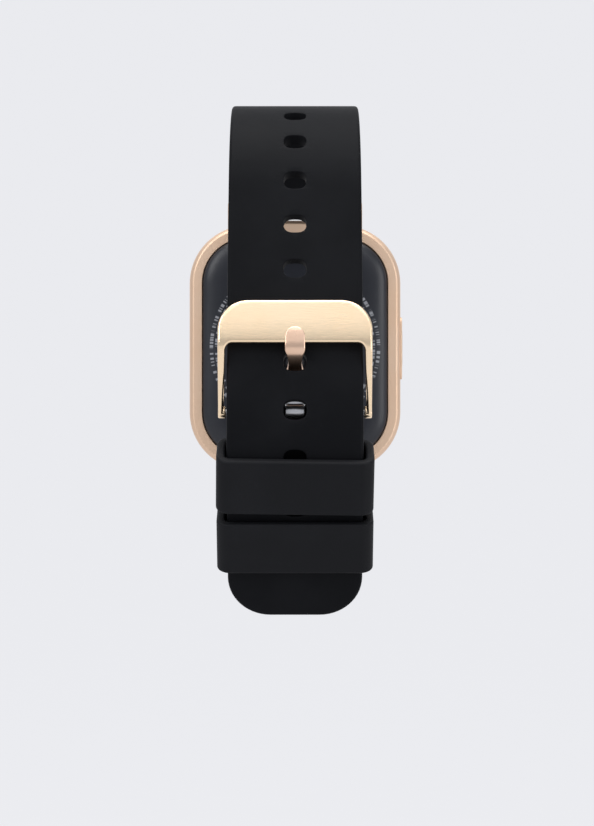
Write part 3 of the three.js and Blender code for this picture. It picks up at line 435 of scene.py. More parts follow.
# %% The back cover's material
def printed_cover():
    look = moulded("cover_polymer", (0.013, 0.0145, 0.020), (0.019, 0.021, 0.028), 0.34, 0.00013,
                   0.000006, specular=0.4)
    x, y, z = (look.axis(name) for name in "XYZ")
    angle = x.math("ARCTAN2", x, z)
    out = (x * x + z * z) ** 0.5
    dashes = 0.0
    for ring, count in ((13.25, 30), (14.15, 33)):
        band = 1 - look.fade((out - ring).math("ABSOLUTE", out - ring), 0.24, 0.34)
        around = look.node("ShaderNodeCombineXYZ", inputs={"X": angle * count, "Y": ring * 1.0})
        dashes = dashes + band * look.fade(look.node("ShaderNodeTexNoise", inputs={
            "Vector": around, "Scale": 1.0, "Detail": 1.0}), 0.48, 0.56)
    aside = look.fade(x.math("ABSOLUTE", x), 9, 11)
    outside = aside * (1 - look.fade(y, 2.4, 2.6))
    return look.layer(dashes * outside * 0.6, (0.42, 0.43, 0.46))


COVER = printed_cover()
print("cover nodes:", len(COVER.tree.nodes))

# %% [markdown]
# ### Glass and electronics
#
# Switched off, a display is nearly black. What gives it away is the edge of the lit area, a shade
# greyer than the black border, under a very smooth coat. The sensor window is the same kind of
# glass with small clear openings over the lights and the light meters.

# %% Glass
def front_glass():
    look = Look("front_glass", Coat_Weight=1.0, Coat_Roughness=0.02, Coat_IOR=1.52)
    x, z = look.axis("X"), look.axis("Z")
    side = 1 - look.fade(x.math("ABSOLUTE", x), 14.2, 14.3)
    end = 1 - look.fade(z.math("ABSOLUTE", z), 17.4, 17.5)
    smears = look.noise(0.006, 4, (1, 1, 2.5))
    look.set(Base_Color=look.mix(side * end, (0.0035, 0.0036, 0.004), (0.0075, 0.008, 0.0095)),
             Roughness=0.05 + look.fade(smears, 0.45, 0.75) * 0.12)
    return look.bump(smears, 0.000004)


def sensor_glass():
    look = Look("window_glass", Coat_Weight=1.0, Coat_Roughness=0.03)
    x, z = look.axis("X"), look.axis("Z")
    openings = 0.0
    for cx, cz, r in ((0, 4.6, 1.3), (0, -4.6, 1.3), (4.4, 0, 1.7), (-4.4, 0, 1.7)):
        out = ((x - cx) * (x - cx) + (z - cz) * (z - cz)) ** 0.5
        openings = openings + (1 - look.fade(out, r - 0.06, r))
    smears = look.noise(0.004, 3)
    look.set(Base_Color=look.mix(openings, (0.004, 0.004, 0.005), (0.03, 0.032, 0.036)),
             Alpha=1 - openings * 0.55, Roughness=0.06 + smears * 0.08)
    return look.bump(smears, 0.000003)


FRONT_GLASS, WINDOW_GLASS = front_glass(), sensor_glass()

# %% [markdown]
# The inside is rarely seen, but it comes apart, so each part gets its own finish too: a circuit
# board with copper tracks under green lacquer, a foil battery with pressed wrinkles, an amber
# film cable with traces, and small cast parts.

# %% Electronics
def circuit_board():
    look = Look("board", Specular_IOR_Level=0.6)
    tracks = look.node("ShaderNodeTexBrick", {"offset": 0.37, "squash": 1.6}, {
        "Vector": look.node("ShaderNodeMapping", inputs={
            "Vector": look.place, "Rotation": (pi / 2, 0, 0), "Scale": (1100, 1100, 1100)}),
        "Scale": 1.0, "Mortar Size": 0.06, "Color1": (0.2,) * 3, "Color2": (0.7,) * 3,
        "Mortar": (1,) * 3}, "Fac")
    pads = look.fade(look.noise(0.0014, 1), 0.66, 0.68)
    lacquer = look.mix(tracks * 0.8, (0.006, 0.05, 0.028), (0.02, 0.12, 0.06))
    look.set(Base_Color=look.mix(pads, lacquer, (0.75, 0.55, 0.25)), Metallic=pads,
             Roughness=0.42 - pads * 0.15)
    return look.bump(tracks + pads, 0.00002)


def striped(name, colour, line, pitch, rough):
    """A smooth film with fine printed or pressed lines along Z."""
    look = Look(name)
    x = look.axis("X")
    lines = look.fade((x * (2 * pi / pitch)).math("SINE", x * (2 * pi / pitch)), 0.1, 0.4)
    clouds = look.noise(0.003, 3)
    look.set(Base_Color=look.mix(lines * 0.7 + clouds * 0.3, colour, line),
             Roughness=rough + (clouds - 0.5) * 0.2)
    return look.bump(lines + clouds, 0.00001)


def foil_pouch():
    look = Look("battery", Metallic=0.7)
    wrinkles = look.noise(0.0022, 4, (1, 1, 2))
    look.set(Base_Color=look.mix(look.fade(wrinkles, 0.3, 0.7), (0.09, 0.095, 0.105),
                                 (0.2, 0.205, 0.215)), Roughness=0.35 + wrinkles * 0.25)
    return look.bump(wrinkles, 0.00012)


def chip(name, colour, edge, size):
    look = Look(name, Coat_Weight=0.8, Coat_Roughness=0.1)
    cells = look.node("ShaderNodeTexVoronoi", inputs={"Vector": look.place, "Scale": 1 / size})
    look.set(Base_Color=look.mix(look.fade(cells, 0.2, 0.6), colour, edge),
             Roughness=0.2 + cells * 0.2)
    return look.bump(cells, 0.00001)


MATERIALS = {look.name: look.material for look in (
    SILICONE, KEEPER_SILICONE, GASKET, SWITCH, CASE_GOLD, BUCKLE_GOLD, STEEL, PLATE, MAGNET,
    CONTACT, COVER, FRONT_GLASS, WINDOW_GLASS, circuit_board(), foil_pouch(),
    striped("flex", (0.32, 0.13, 0.02), (0.6, 0.33, 0.1), 0.5, 0.35),
    striped("panel", (0.006, 0.006, 0.008), (0.02, 0.02, 0.024), 0.8, 0.15),
    chip("led", (0.25, 0.6, 0.25), (0.7, 0.85, 0.6), 0.0007),
    chip("diode", (0.012, 0.012, 0.02), (0.03, 0.03, 0.05), 0.0009))}
missing = {row["slot"] for row in frame["record"]["materials"]} - set(MATERIALS)
print(len(MATERIALS), "materials, none left for", missing or "any slot")

# %% [markdown]
# ## From a mesh to a piece
#
# A finished mesh is scaled to metres, shaded smooth except along its sharp edges, and given its
# material. The Weighted Normal modifier lets large flat faces keep their own direction, so that
# only the small rounded edges catch the light.

# %% Finish a piece
def keep(bm, name, body, slot, *nodes, sharp=38, look=None):
    """Makes the mesh a piece that rides on a CAD body and stands for the CAD nodes."""
    bmesh.ops.remove_doubles(bm, verts=bm.verts, dist=1e-4)
    bmesh.ops.scale(bm, vec=(MM, MM, MM), verts=bm.verts)
    bmesh.ops.recalc_face_normals(bm, faces=bm.faces)
    for f in bm.faces:
        f.smooth = True
    for e in bm.edges:
        e.smooth = e.calc_face_angle(0) < radians(sharp)
    mesh = bpy.data.meshes.new(name)
    bm.to_mesh(mesh)
    bm.free()
    mesh.materials.append(look.material if look else MATERIALS[slot])
    piece = bpy.data.objects.new(name, mesh)
    bpy.context.collection.objects.link(piece)
    even = piece.modifiers.new("even shading", "WEIGHTED_NORMAL")
    even.keep_sharp = True
    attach(piece, body)
    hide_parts(*nodes)
    lo, hi = (Vector(piece.bound_box[i]) / MM for i in (0, 6))
    print(name, len(mesh.polygons), "faces,", "open" if any_open(mesh) else "closed,",
          [round(v, 1) for v in hi - lo], "mm")
    return piece


def any_open(mesh):
    """True if an edge of the mesh doesn't have exactly two faces."""
    uses = {}
    for p in mesh.polygons:
        for key in p.edge_keys:
            uses[key] = uses.get(key, 0) + 1
    return any(count != 2 for count in uses.values())


# %% [markdown]
# ## The straps
#
# A strap starts as a flat grid. For each hole we take one cell of the grid, subdivide its border,
# inset it, and push the inner ring onto an oval, which leaves clean rings of faces round the
# hole. Then come thickness, rounded edges, cuts every millimetre, and at last the bend.

# %% A flat strap
def strap_plan(length, tip=0.0, holes=()):
    """A flat strip with rounded tip corners and oval holes. X is across and Y along."""
    bm = bmesh.new()
    bmesh.ops.create_grid(bm, x_segments=3, y_segments=1, size=0.5)
    bmesh.ops.translate(bm, verts=bm.verts, vec=(0, 0.5, 0))
    bmesh.ops.scale(bm, verts=bm.verts, vec=(STRAP_WIDTH, length, 1))
    if tip:
        ends = [v for v in bm.verts if v.co.y > length - 1 and abs(v.co.x) > STRAP_WIDTH / 2 - 1]
        round_corners(bm, ends, tip, 14)
    if holes:
        half = (holes[1] - holes[0]) / 2
        slice_at(bm, [holes[0] - half, *(h + half for h in holes)])

    def cell(at):
        return min(bm.faces, key=lambda f: (f.calc_center_median() - Vector((0, at, 0))).length)

    bmesh.ops.subdivide_edges(bm, edges=list({e for h in holes for e in cell(h).edges}), cuts=7)
    for h in holes:
        inner = cell(h)
        bmesh.ops.inset_region(bm, faces=[inner], thickness=0.5, use_even_offset=True)
        around = sorted(inner.verts, key=lambda v: (atan2(v.co.y - h, v.co.x) + 0.01) % (2 * pi))
        for i, v in enumerate(around):
            a = 2 * pi * i / len(around)
            x, y = (copysign(abs(turn(a)) ** 0.75, turn(a)) for turn in (cos, sin))
            v.co = (HOLE_WIDTH / 2 * x, h + HOLE_HEIGHT / 2 * y, 0)
        bmesh.ops.delete(bm, geom=[inner], context="FACES_ONLY")
    return bm


def strap_slab(bm, length):
    """Gives the flat strap its thickness and rounds its rims, then slices it for the bend."""
    thicken(bm, STRAP_THICKNESS)
    inside = STRAP_WIDTH / 2 - 1

    def outer(e):
        low = max(v.co.y for v in e.verts)
        upright = abs(e.verts[0].co.z - e.verts[1].co.z) > 0.1
        return not upright and low > 0.1 and (max(abs(v.co.x) for v in e.verts) > inside
                                              or low > length - 6.4)

    def rim(e):
        return all(abs(v.co.x) < 2 and v.co.y < length - 6.4 for v in e.verts)

    round_edges(bm, STRAP_EDGE, 5, outer)
    round_edges(bm, 0.14, 2, rim)
    slice_at(bm, steps(0, length, 1.0), simple=True)
    return bm


# %% [markdown]
# Near a spring bar the strap swells until it is as thick as the roll that wraps the bar. The roll
# itself is a rod joined on. The bore and the small window for the quick-release lever are cut
# last.

# %% Both straps
def swollen(s):
    """Thickness of the strap at length s, as a share of its plain thickness."""
    fade = min(1, s / 16)
    fade = fade * fade * (3 - 2 * fade) * 0.5 + fade * 0.5
    return 1.4 * (1 - fade) + fade


def rolled_end(bm, y, z, side):
    """Joins the roll on at the spring bar, then takes out its bore and the lever's window."""
    half = STRAP_WIDTH / 2
    roll = rod(bmesh.new(), KNUCKLE_R, -half, half, y, z, 48)
    round_edges(roll, 0.25, 3)
    bm = carve(bm, roll, "UNION")
    tool = rod(bmesh.new(), BORE_R, -half - 1, half + 1, y, z)
    turned = Matrix.Translation((0, y, z)) @ Matrix.Rotation(side * radians(25), 4, "X")
    window = Matrix.Translation((7.5, -KNUCKLE_R, 0)) @ Matrix.Diagonal((3, 3, 2, 1))
    bmesh.ops.create_cube(tool, size=1, matrix=turned @ window)
    return carve(bm, tool)


long_flat = strap_slab(strap_plan(LONG.length, tip=6.3, holes=HOLES), LONG.length)
bend(long_flat, LONG, swollen)
keep(rolled_end(long_flat, BAR_Y, BAR_Z, 1), "long_strap_skin", "band", "silicone", "long_strap")

# %% [markdown]
# The short strap has no holes. Its far end rolls round the buckle's pin, and has a slot in the
# middle of the roll where the tongue turns.

# %% The short strap
short_flat = strap_slab(strap_plan(SHORT.length), SHORT.length)
bend(short_flat, SHORT, swollen)
short_rolled = rolled_end(short_flat, BAR_Y, -BAR_Z, -1)
roll = rod(bmesh.new(), BUCKLE_KNUCKLE_R, -STRAP_WIDTH / 2, STRAP_WIDTH / 2, *PIVOT, 48)
round_edges(roll, 0.25, 3)
short_rolled = carve(short_rolled, roll, "UNION")
slot = rod(bmesh.new(), BORE_R, -STRAP_WIDTH / 2 - 1, STRAP_WIDTH / 2 + 1, *PIVOT)
reach = BUCKLE_KNUCKLE_R - SEAT + RUN
bmesh.ops.create_cube(slot, size=1, matrix=Matrix.Translation((0, PIVOT[0], PIVOT[1] + reach / 2))
                      @ Matrix.Diagonal((TONGUE_WIDTH + 2 * RUN, 4 * reach, 3 * reach, 1)))
keep(carve(short_rolled, slot), "short_strap_skin", "band", "silicone", "short_strap")

# %% [markdown]
# ## The keepers
#
# A keeper is a moulded loop with rounded corners. We round the long edges of a box, open its
# ends, let solidify give the wall, and soften the rims. Each one stands square to the band at its
# middle. The first has slipped a little out of square, as they do, and its far side has ridden
# up.

# %% Keepers
def keeper(start, name, body, node, low, lean=0.0, slip=0.0):
    """A loop round both straps. low is how far it reaches inwards of the long strap's middle, lean
    turns it out of square, and slip moves its far side along the band."""
    high = STRAP_THICKNESS / 2 + RUN + KEEPER_WALL
    bm = bmesh.new()
    size = Matrix.Diagonal((2 * KEEPER_HALF, KEEPER_LENGTH, high - low, 1))
    bmesh.ops.create_cube(bm, size=1, matrix=Matrix.Translation((0, 0, (high + low) / 2)) @ size)
    ends = [f for f in bm.faces if abs(f.normal.y) > 0.9]
    bmesh.ops.delete(bm, geom=ends, context="FACES_ONLY")
    round_edges(bm, 2, 9, lambda e: abs(e.verts[0].co.y - e.verts[1].co.y) > 1)
    bmesh.ops.recalc_face_normals(bm, faces=bm.faces)
    bmesh.ops.solidify(bm, geom=bm.faces[:], thickness=KEEPER_WALL)
    slice_at(bm, steps(-KEEPER_HALF, KEEPER_HALF, 1.5), (1, 0, 0))
    round_edges(bm, 0.4, 4)
    bmesh.ops.rotate(bm, verts=bm.verts, cent=(0, 0, 0), matrix=Matrix.Rotation(lean, 3, "Z"))
    middle = start + KEEPER_LENGTH / 2
    way = LONG.way(middle)[2]
    for v in bm.verts:
        x, along, n = v.co
        v.co = (x, *(LONG.at(middle, n) + way * (along + slip * (n - high))))
    return keep(bm, name, body, "keeper_silicone", node)


inner = -LAYER - STRAP_THICKNESS / 2 - RUN - KEEPER_WALL
keeper(KEEPERS[0], "keeper_fixed_loop", "band", "keeper_fixed", inner - 0.3, radians(0.8),
       slip=0.2)
keeper(KEEPERS[1], "keeper_free_loop", "free_keeper", "keeper_free", inner)

# %% [markdown]
# ## The buckle
#
# The frame is one U-shaped piece of metal: a wide bar with round corners, and two arms that lean
# in to the pin behind the strap. It starts as a plate, and a smaller plate cuts its opening. Seen
# from the side it follows its own short path, from the bar over an elbow to the pin.

# %% The buckle frame
ELBOW = BAR_START + BAR_LENGTH + 1.2
BAR_LIP = 0.8  # the bar runs on past the CAD bar's edge, towards the elbow
BAR_CORNER, INNER_CORNER, FRAME_EDGE, BOSS_R = 4.5, 1.0, 0.34, 0.9
side_line = [LONG.at(BAR_START, BAR_N), LONG.at(BAR_START + BAR_LENGTH, BAR_N),
             LONG.at(ELBOW, BAR_N - 0.1), LONG.at(ELBOW, BAR_N - 0.1).lerp(PIVOT, 0.3), PIVOT]
FRAME_PATH = Path(soften(side_line))


def plate(half, start, end, corner, segments, spread=0.0):
    """A flat plate from start to end, with round corners at its start. It can spread."""
    bm = bmesh.new()
    bmesh.ops.create_grid(bm, x_segments=1, y_segments=1, size=1)
    for v in bm.verts:
        wide, place = (half, start) if v.co.y < 0 else (half + spread, end)
        v.co = (wide if v.co.x > 0 else -wide, place, 0)
    round_corners(bm, [v for v in bm.verts if v.co.y < start + 0.1], corner, segments)
    return bm


whole = FRAME_PATH.length
frame_bm = plate(FRAME_HALF, 0, whole, BAR_CORNER, 14)
thicken(frame_bm, BAR_THICK)
opening = plate(STRAP_WIDTH / 2 + 0.2, BAR_LENGTH + BAR_LIP, whole + 1, INNER_CORNER, 6,
                spread=0.37)
thicken(opening, 2 * BAR_THICK)
frame_bm = carve(frame_bm, opening)
round_edges(frame_bm, FRAME_EDGE, 4, lambda e: min(v.co.y for v in e.verts) < whole - 0.1)
slice_at(frame_bm, steps(0, whole, 0.3), simple=True)
bend(frame_bm, FRAME_PATH, lambda s: 1 + 0.1 * max(0, (s - 8) / (whole - 8)) ** 2)

# %% [markdown]
# The arms end in round bosses that hold the pin, and the bar has a shallow seat for the tongue.

# %% The buckle's bosses, bore and seat
bosses = bmesh.new()
for side in (-1, 1):
    x0, x1 = sorted((side * (STRAP_WIDTH / 2 + 0.2), side * (FRAME_HALF + 0.02)))
    rod(bosses, BOSS_R, x0, x1, *PIVOT, 48)
round_edges(bosses, 0.15, 3)
frame_bm = carve(frame_bm, bosses, "UNION")
cuts = rod(bmesh.new(), 0.55, -FRAME_HALF - 1, FRAME_HALF + 1, *PIVOT)
seat = bmesh.new()
bmesh.ops.create_cube(seat, size=1, matrix=Matrix.Diagonal((TONGUE_WIDTH + 2 * FIT, 8, 2, 1)))
round_edges(seat, 0.3, 3, lambda e: all(v.co.z < 0 for v in e.verts))
for v in seat.verts:
    x, along, n = v.co
    v.co = (x, *LONG.at(TONGUE_TIP - RUN + 4 + along, BAR_N + 1 + n))
frame_bm = carve(carve(frame_bm, cuts), seat)
keep(frame_bm, "buckle_frame_metal", "buckle", "buckle_gold", "buckle_frame")

# %% [markdown]
# The tongue is a flat pin that starts at the buckle's pin, comes out through the strap's hole and
# lies on the bar. It is narrower where it passes through the hole, so that it can lift. Its
# plating is pinker than the buckle's, and the eye that turns on the pin is bare steel: a mask by
# distance from the pin lays the steel colour over the plating.

# %% The tongue
rest = BAR_N + SEAT / 2 + TONGUE_THICK / 2
clear = STRAP_THICKNESS / 2 + RUN
side_points = [(6.2, -2.6), (4.6, -LAYER), (1.5, RUN - LAYER), (0.6, -clear), (-0.6, clear),
               (-1.15, clear + 1), (-1.8, rest), (-3.2, rest), (-4.75, rest)]
TONGUE_PATH = Path(soften([PIVOT, *(LONG.at(BUCKLED + s, n) for s, n in side_points)], 2))


def tongue_plan(length):
    """A narrow strip with a waist and a round tip."""
    bm = bmesh.new()
    bmesh.ops.create_grid(bm, x_segments=1, y_segments=1, size=0.5)
    bmesh.ops.translate(bm, verts=bm.verts, vec=(0, 0.5, 0))
    bmesh.ops.scale(bm, verts=bm.verts, vec=(TONGUE_WIDTH, length, 1))
    round_corners(bm, [v for v in bm.verts if v.co.y > 1], TONGUE_WIDTH / 2 - 0.02, 10)
    return bm


WAIST = 0.34  # how much of its width the tongue loses where it crosses the strap


def waist(y):
    """Share of the tongue's full width at length y: less where it crosses the strap."""
    near = abs(y - (TONGUE_PATH.length - 6.1)) / 2.6
    return 1 - WAIST * max(0, 1 - near * near)


tongue = tongue_plan(TONGUE_PATH.length)
thicken(tongue, TONGUE_THICK)
round_edges(tongue, 0.24, 4, lambda e: max(v.co.y for v in e.verts) > 0.1)
slice_at(tongue, steps(0, TONGUE_PATH.length, 0.25))
for v in tongue.verts:
    v.co.x *= waist(v.co.y)
bend(tongue, TONGUE_PATH)
hub_half = TONGUE_WIDTH / 2 - 0.06
hub = rod(bmesh.new(), BUCKLE_KNUCKLE_R - SEAT, -hub_half, hub_half, *PIVOT, 40)
round_edges(hub, 0.15, 2)
tongue = carve(tongue, hub, "UNION")
tongue = carve(tongue, rod(bmesh.new(), BORE_R, -TONGUE_WIDTH, TONGUE_WIDTH, *PIVOT))
y, z = TONGUE_GOLD.axis("Y"), TONGUE_GOLD.axis("Z")
off_pin = ((y - PIVOT[0]) * (y - PIVOT[0]) + (z - PIVOT[1]) * (z - PIVOT[1])) ** 0.5
TONGUE_GOLD.layer(1 - TONGUE_GOLD.fade(off_pin, 1.9, 2.3), (0.66, 0.67, 0.69))
keep(tongue, "buckle_tongue_metal", "tongue", "buckle_gold", "buckle_tongue", look=TONGUE_GOLD)

# %% [markdown]
# ## The case
#
# The case outline is a rectangle with very round corners and ends that bow out a little. We draw
# a quarter of it by spinning one point, first round the corner and then round the bow's far
# centre, and mirror it twice. To sweep a profile round the case we extrude this loop again and
# again, and set each new loop at its own inset and height, as a lathe turns a profile round an
# axis.

# %% The case outline
APEX = CASE_HALF - CORNER_R
CORNER_X = CASE_WIDTH / 2 - CORNER_R
BOW_Z = (APEX ** 2 - CORNER_Z ** 2 - CORNER_X ** 2) / (2 * (APEX - CORNER_Z))
BOW_R = CASE_HALF - BOW_Z
TURN = pi / 2 - atan2(CORNER_X, CORNER_Z - BOW_Z)  # how far the corner turns before the bow


def case_loop(bm):
    """Draws the case's outline at height 0 and gives back its edges."""
    last = bm.verts.new((CASE_WIDTH / 2, 0, 0))
    for i in range(1, 11):
        last, before = bm.verts.new((CASE_WIDTH / 2, 0, CORNER_Z * i / 10)), last
        bm.edges.new((before, last))
    for centre, angle, count in (((CORNER_X, 0, CORNER_Z), TURN, 14),
                                 ((0, 0, BOW_Z), pi / 2 - TURN, 8)):
        spun = bmesh.ops.spin(bm, geom=[last], cent=centre, axis=(0, -1, 0), angle=angle,
                              steps=count, use_merge=False)
        last = next(v for v in spun["geom_last"] if isinstance(v, bmesh.types.BMVert))
    for axis in "XZ":
        bmesh.ops.mirror(bm, geom=bm.verts[:] + bm.edges[:], axis=axis, merge_dist=1e-3)
    return bm.edges[:]


def on_outline(co, inset):
    """The point of the outline, inset all round, that a point of the loop belongs to."""
    x, z = abs(co.x), abs(co.z)
    if z < CORNER_Z - 1e-4:
        x, z = CASE_WIDTH / 2 - inset, z
    else:
        bowed = atan2(x, z - BOW_Z) < pi / 2 - TURN
        centre, r = (Vector((CORNER_X, CORNER_Z)), CORNER_R)
        if bowed:
            centre, r = Vector((0, BOW_Z)), BOW_R
        x, z = centre + (Vector((x, z)) - centre).normalized() * (r - inset)
    return x if co.x > 0 else -x, z if co.z > 0 else -z


def set_loop(verts, size, y, is_round=False):
    """Sets a loop at a height, on the outline inset by size or on a circle of that radius."""
    for v in verts:
        if is_round:
            x, z = Vector((v.co.x, v.co.z)).normalized() * size
        else:
            x, z = on_outline(v.co, size)
        v.co = (x, y, z)


def extend(bm, loop, profile):
    """Extrudes the loop through each (size, height) of the profile. Gives back the last loop."""
    for at in profile:
        made = bmesh.ops.extrude_edge_only(bm, edges=loop)["geom"]
        verts = {v for v in made if isinstance(v, bmesh.types.BMVert)}
        loop = [e for e in made if isinstance(e, bmesh.types.BMEdge) and verts.issuperset(e.verts)]
        set_loop(verts, *at)
    return loop


def sweep_case(profile, capped=False):
    """Sweeps a profile round the case, either closed on itself or with flat caps at its ends."""
    bm = bmesh.new()
    first = case_loop(bm)
    set_loop(bm.verts, *profile[0])
    last = extend(bm, first, profile[1:] if capped else profile[1:] + profile[:1])
    for loop in (first, last) if capped else ():
        bmesh.ops.edgeloop_fill(bm, edges=loop)
    bmesh.ops.remove_doubles(bm, verts=bm.verts, dist=1e-4)
    bmesh.ops.recalc_face_normals(bm, faces=bm.faces)
    return bm


def quarter(x, y, rx, ry, count):
    """Points of a quarter ellipse, from (x, y) to rx further in and ry further up or down."""
    turns = [pi / 2 * i / count for i in range(count + 1)]
    return [(x + rx * (1 - cos(t)), y + ry * sin(t)) for t in turns]


outline = bmesh.new()
print("edges in the outline:", len(case_loop(outline)))
outline.free()

# %% [markdown]
# The metal ring has softly rounded outer edges, a step for the glass in front and one for the
# cover behind. The four horns that hold the spring bars are joined on.

# %% The metal ring
RIM, WALL = 2.25, 2.4
ring = sweep_case([*quarter(0, 7.4, 0.9, 2.4, 8), (1.02, 9.8), (1.1, 9.72), (1.1, 9.3),
                   (WALL, 9.3), (WALL, 4.7), (3.4, 4.7), (3.4, 4.1), (RIM, 4.1), (RIM, 2.5),
                   (RIM - 0.1, 2.4), *reversed(quarter(0, 4.8, 0.9, -2.4, 8))])


def horns():
    """Four lugs: a side view drawn from a few points and an arc, extruded across."""
    bm = bmesh.new()
    r, root = 1.35, CASE_HALF - WALL - 0.35
    line = [(BAR_Y - r + 0.4, root), (BAR_Y - r, BAR_Z)]
    verts = [bm.verts.new((0, y, z)) for y, z in line]
    bm.edges.new(verts)
    spun = bmesh.ops.spin(bm, geom=[verts[-1]], cent=(0, BAR_Y, BAR_Z), axis=(-1, 0, 0), angle=pi,
                          steps=16, use_merge=False)
    last = next(v for v in spun["geom_last"] if isinstance(v, bmesh.types.BMVert))
    for y, z in ((BAR_Y + 2 * r, CASE_HALF - 1), (BAR_Y + 3 * r, root)):
        nxt = bm.verts.new((0, y, z))
        bm.edges.new((last, nxt))
        last = nxt
    bm.edges.new((last, verts[0]))
    bmesh.ops.edgeloop_fill(bm, edges=bm.edges[:])
    made = bmesh.ops.extrude_face_region(bm, geom=bm.faces[:])
    far = [v for v in made["geom"] if isinstance(v, bmesh.types.BMVert)]
    bmesh.ops.translate(bm, verts=far, vec=(1.25, 0, 0))
    bmesh.ops.translate(bm, verts=bm.verts, vec=(STRAP_WIDTH / 2 + FIT, 0, 0))
    bmesh.ops.recalc_face_normals(bm, faces=bm.faces)
    round_edges(bm, 0.2, 3, lambda e: abs(e.verts[0].co.x - e.verts[1].co.x) < 0.1)
    for axis in "XZ":
        bmesh.ops.mirror(bm, geom=bm.verts[:] + bm.edges[:] + bm.faces[:], axis=axis,
                         merge_dist=1e-5)
    bmesh.ops.recalc_face_normals(bm, faces=bm.faces)
    return bm


# %% [markdown]
# The side button sits in a pocket in a slightly raised pad. Pad, pocket and button are all pills:
# a rectangle whose corners are rounded until the short sides are gone.

# %% Button, pad and pocket
BUTTON_Y, BUTTON_Z = 6.1, -0.1


def pill(half_length, half_height, x0, x1, soft=0.0, segments=3, corner=0.99):
    """A closed pill on the case's flank, from x0 out to x1, with its outer rim rounded. corner is
    the radius of its corners, as a share of half_height."""
    bm = bmesh.new()
    bmesh.ops.create_grid(bm, x_segments=1, y_segments=1, size=1)
    bmesh.ops.scale(bm, verts=bm.verts, vec=(half_height, half_length, 1))
    round_corners(bm, bm.verts[:], half_height * corner, 10)
    thicken(bm, x1 - x0)
    if soft:
        round_edges(bm, soft, segments, lambda e: all(v.co.z > 0 for v in e.verts))
    for v in bm.verts:
        y, z, x = v.co
        v.co = (x + (x0 + x1) / 2, y + BUTTON_Y, z + BUTTON_Z)
    bmesh.ops.recalc_face_normals(bm, faces=bm.faces)
    return bm


ring = carve(ring, horns(), "UNION")
ring = carve(ring, pill(5.3, 2.4, 17, 18.25, 0.12, corner=0.4), "UNION")
openings = pill(3.9, 1.85, 16.5, 19)
rod(openings, 1.4, 15, 17, BUTTON_Y, BUTTON_Z)
for sx in (-1, 1):
    for sz in (-1, 1):
        rod(openings, 0.55, *sorted((sx * 9.2, sx * 11.05)), BAR_Y, sz * BAR_Z, 24)
keep(carve(ring, openings), "case_ring", "case", "case_gold", "case_frame", sharp=32)

button = pill(3.75, 1.7, 16.95, 18.35, 0.32, 4)
button = carve(button, rod(bmesh.new(), 0.8, 14.8, 17.2, BUTTON_Y, BUTTON_Z, 32), "UNION")
keep(button, "side_button_cap", "button", "case_gold", "side_button")

# %% [markdown]
# The back cover rises in a shallow dome to a flat, and from the flat stands a round island for
# the sensor. The same extruded loop can change its shape on the way, so one step of the profile
# takes it from the rounded rectangle to the circle.

# %% The back cover
def back_cover():
    bm = bmesh.new()
    first = case_loop(bm)
    set_loop(bm.verts, RIM + 0.1, 3.5)
    island = [(11.45, 1.2), (11.25, 1.14), (11.2, 1.0), (11.2, 0.9), (11.1, 0.72), (10.72, 0.34),
              (10.5, 0.25), (9.7, 0.25), (9.6, 0.32), (9.6, 1.0), (7.5, 1.0), (7.5, 2.4),
              (10.5, 2.4), (10.5, 3.5)]
    dome = quarter(RIM + 0.1, 2.6, 3.4, -1.4, 9)
    extend(bm, first, [*dome, *((r, y, True) for r, y in island)])
    extend(bm, first, [(5.45, 3.5), (10.5, 3.5, True)])
    bmesh.ops.remove_doubles(bm, verts=bm.verts, dist=1e-4)
    tool = bmesh.new()
    for side in (-1, 1):
        disc(tool, 1.0, 0, 5, side * 1.9, -13.7)
        disc(tool, 2.1, 2.3, 5, side * 5.7, -13.7)
    return carve(bm, tool)


keep(back_cover(), "back_cover_shell", "case", "cover_polymer", "back_cover", sharp=30)

# %% [markdown]
# Both glasses have polished, rounded edges. The front glass is slightly domed all round, which is
# why reflections slide off its edge.

# %% The glasses
def sensor_window():
    bm = bmesh.new()
    profile = [(9.2, 0.9), (9.5, 0.75), (9.5, 0.3), (9.42, 0.12), (9.2, 0.02), (8.9, 0.0)]
    flat = Matrix.Rotation(pi / 2, 4, "X")
    bmesh.ops.create_circle(bm, segments=96, radius=1, matrix=flat)
    first = bm.edges[:]
    set_loop(bm.verts, *profile[0], True)
    for loop in (first, extend(bm, first, [(r, y, True) for r, y in profile[1:]])):
        bmesh.ops.edgeloop_fill(bm, edges=loop)
    return bm


keep(sensor_window(), "sensor_window_glass", "case", "window_glass", "sensor_window")
glass = sweep_case([(1.05, 9.9), (0.9, 10.05), *quarter(0.9, 10.3, 1.9, 0.9, 8), (5, 11.2)],
                   capped=True)
keep(glass, "front_glass_dome", "case", "front_glass", "front_glass")

# %% [markdown]
# ## The CAD parts that stay
#
# The screws, boards, springs and seals have the right shape already. They keep their own meshes
# and get a finish.

# %% Finishes for the CAD parts
SLOTS = {
    "panel": ["display_panel"], "flex": ["display_flex"], "plate": ["mid_plate"],
    "board": ["main_board", "sensor_board"], "battery": ["battery"],
    "led": ["sensor_led_1", "sensor_led_2"], "diode": ["photodiode_1", "photodiode_2"],
    "contact_gold": ["charge_pin_left", "charge_pin_right"],
    "magnet": ["charge_magnet_left", "charge_magnet_right", "motor_rotor"],
    "gasket": ["glass_gasket", "back_gasket", "button_seal"], "switch": ["button_switch"],
}
finish_of = {node: slot for slot, nodes in SLOTS.items() for node in nodes}
shown = [o for o in frame["nodes"].values() if not o.hide_render]
for o in shown:
    slot = finish_of.get(o.name, "steel")
    o.data.materials.clear()
    o.data.materials.append(MATERIALS[slot])
print(len(shown), "CAD parts finished")

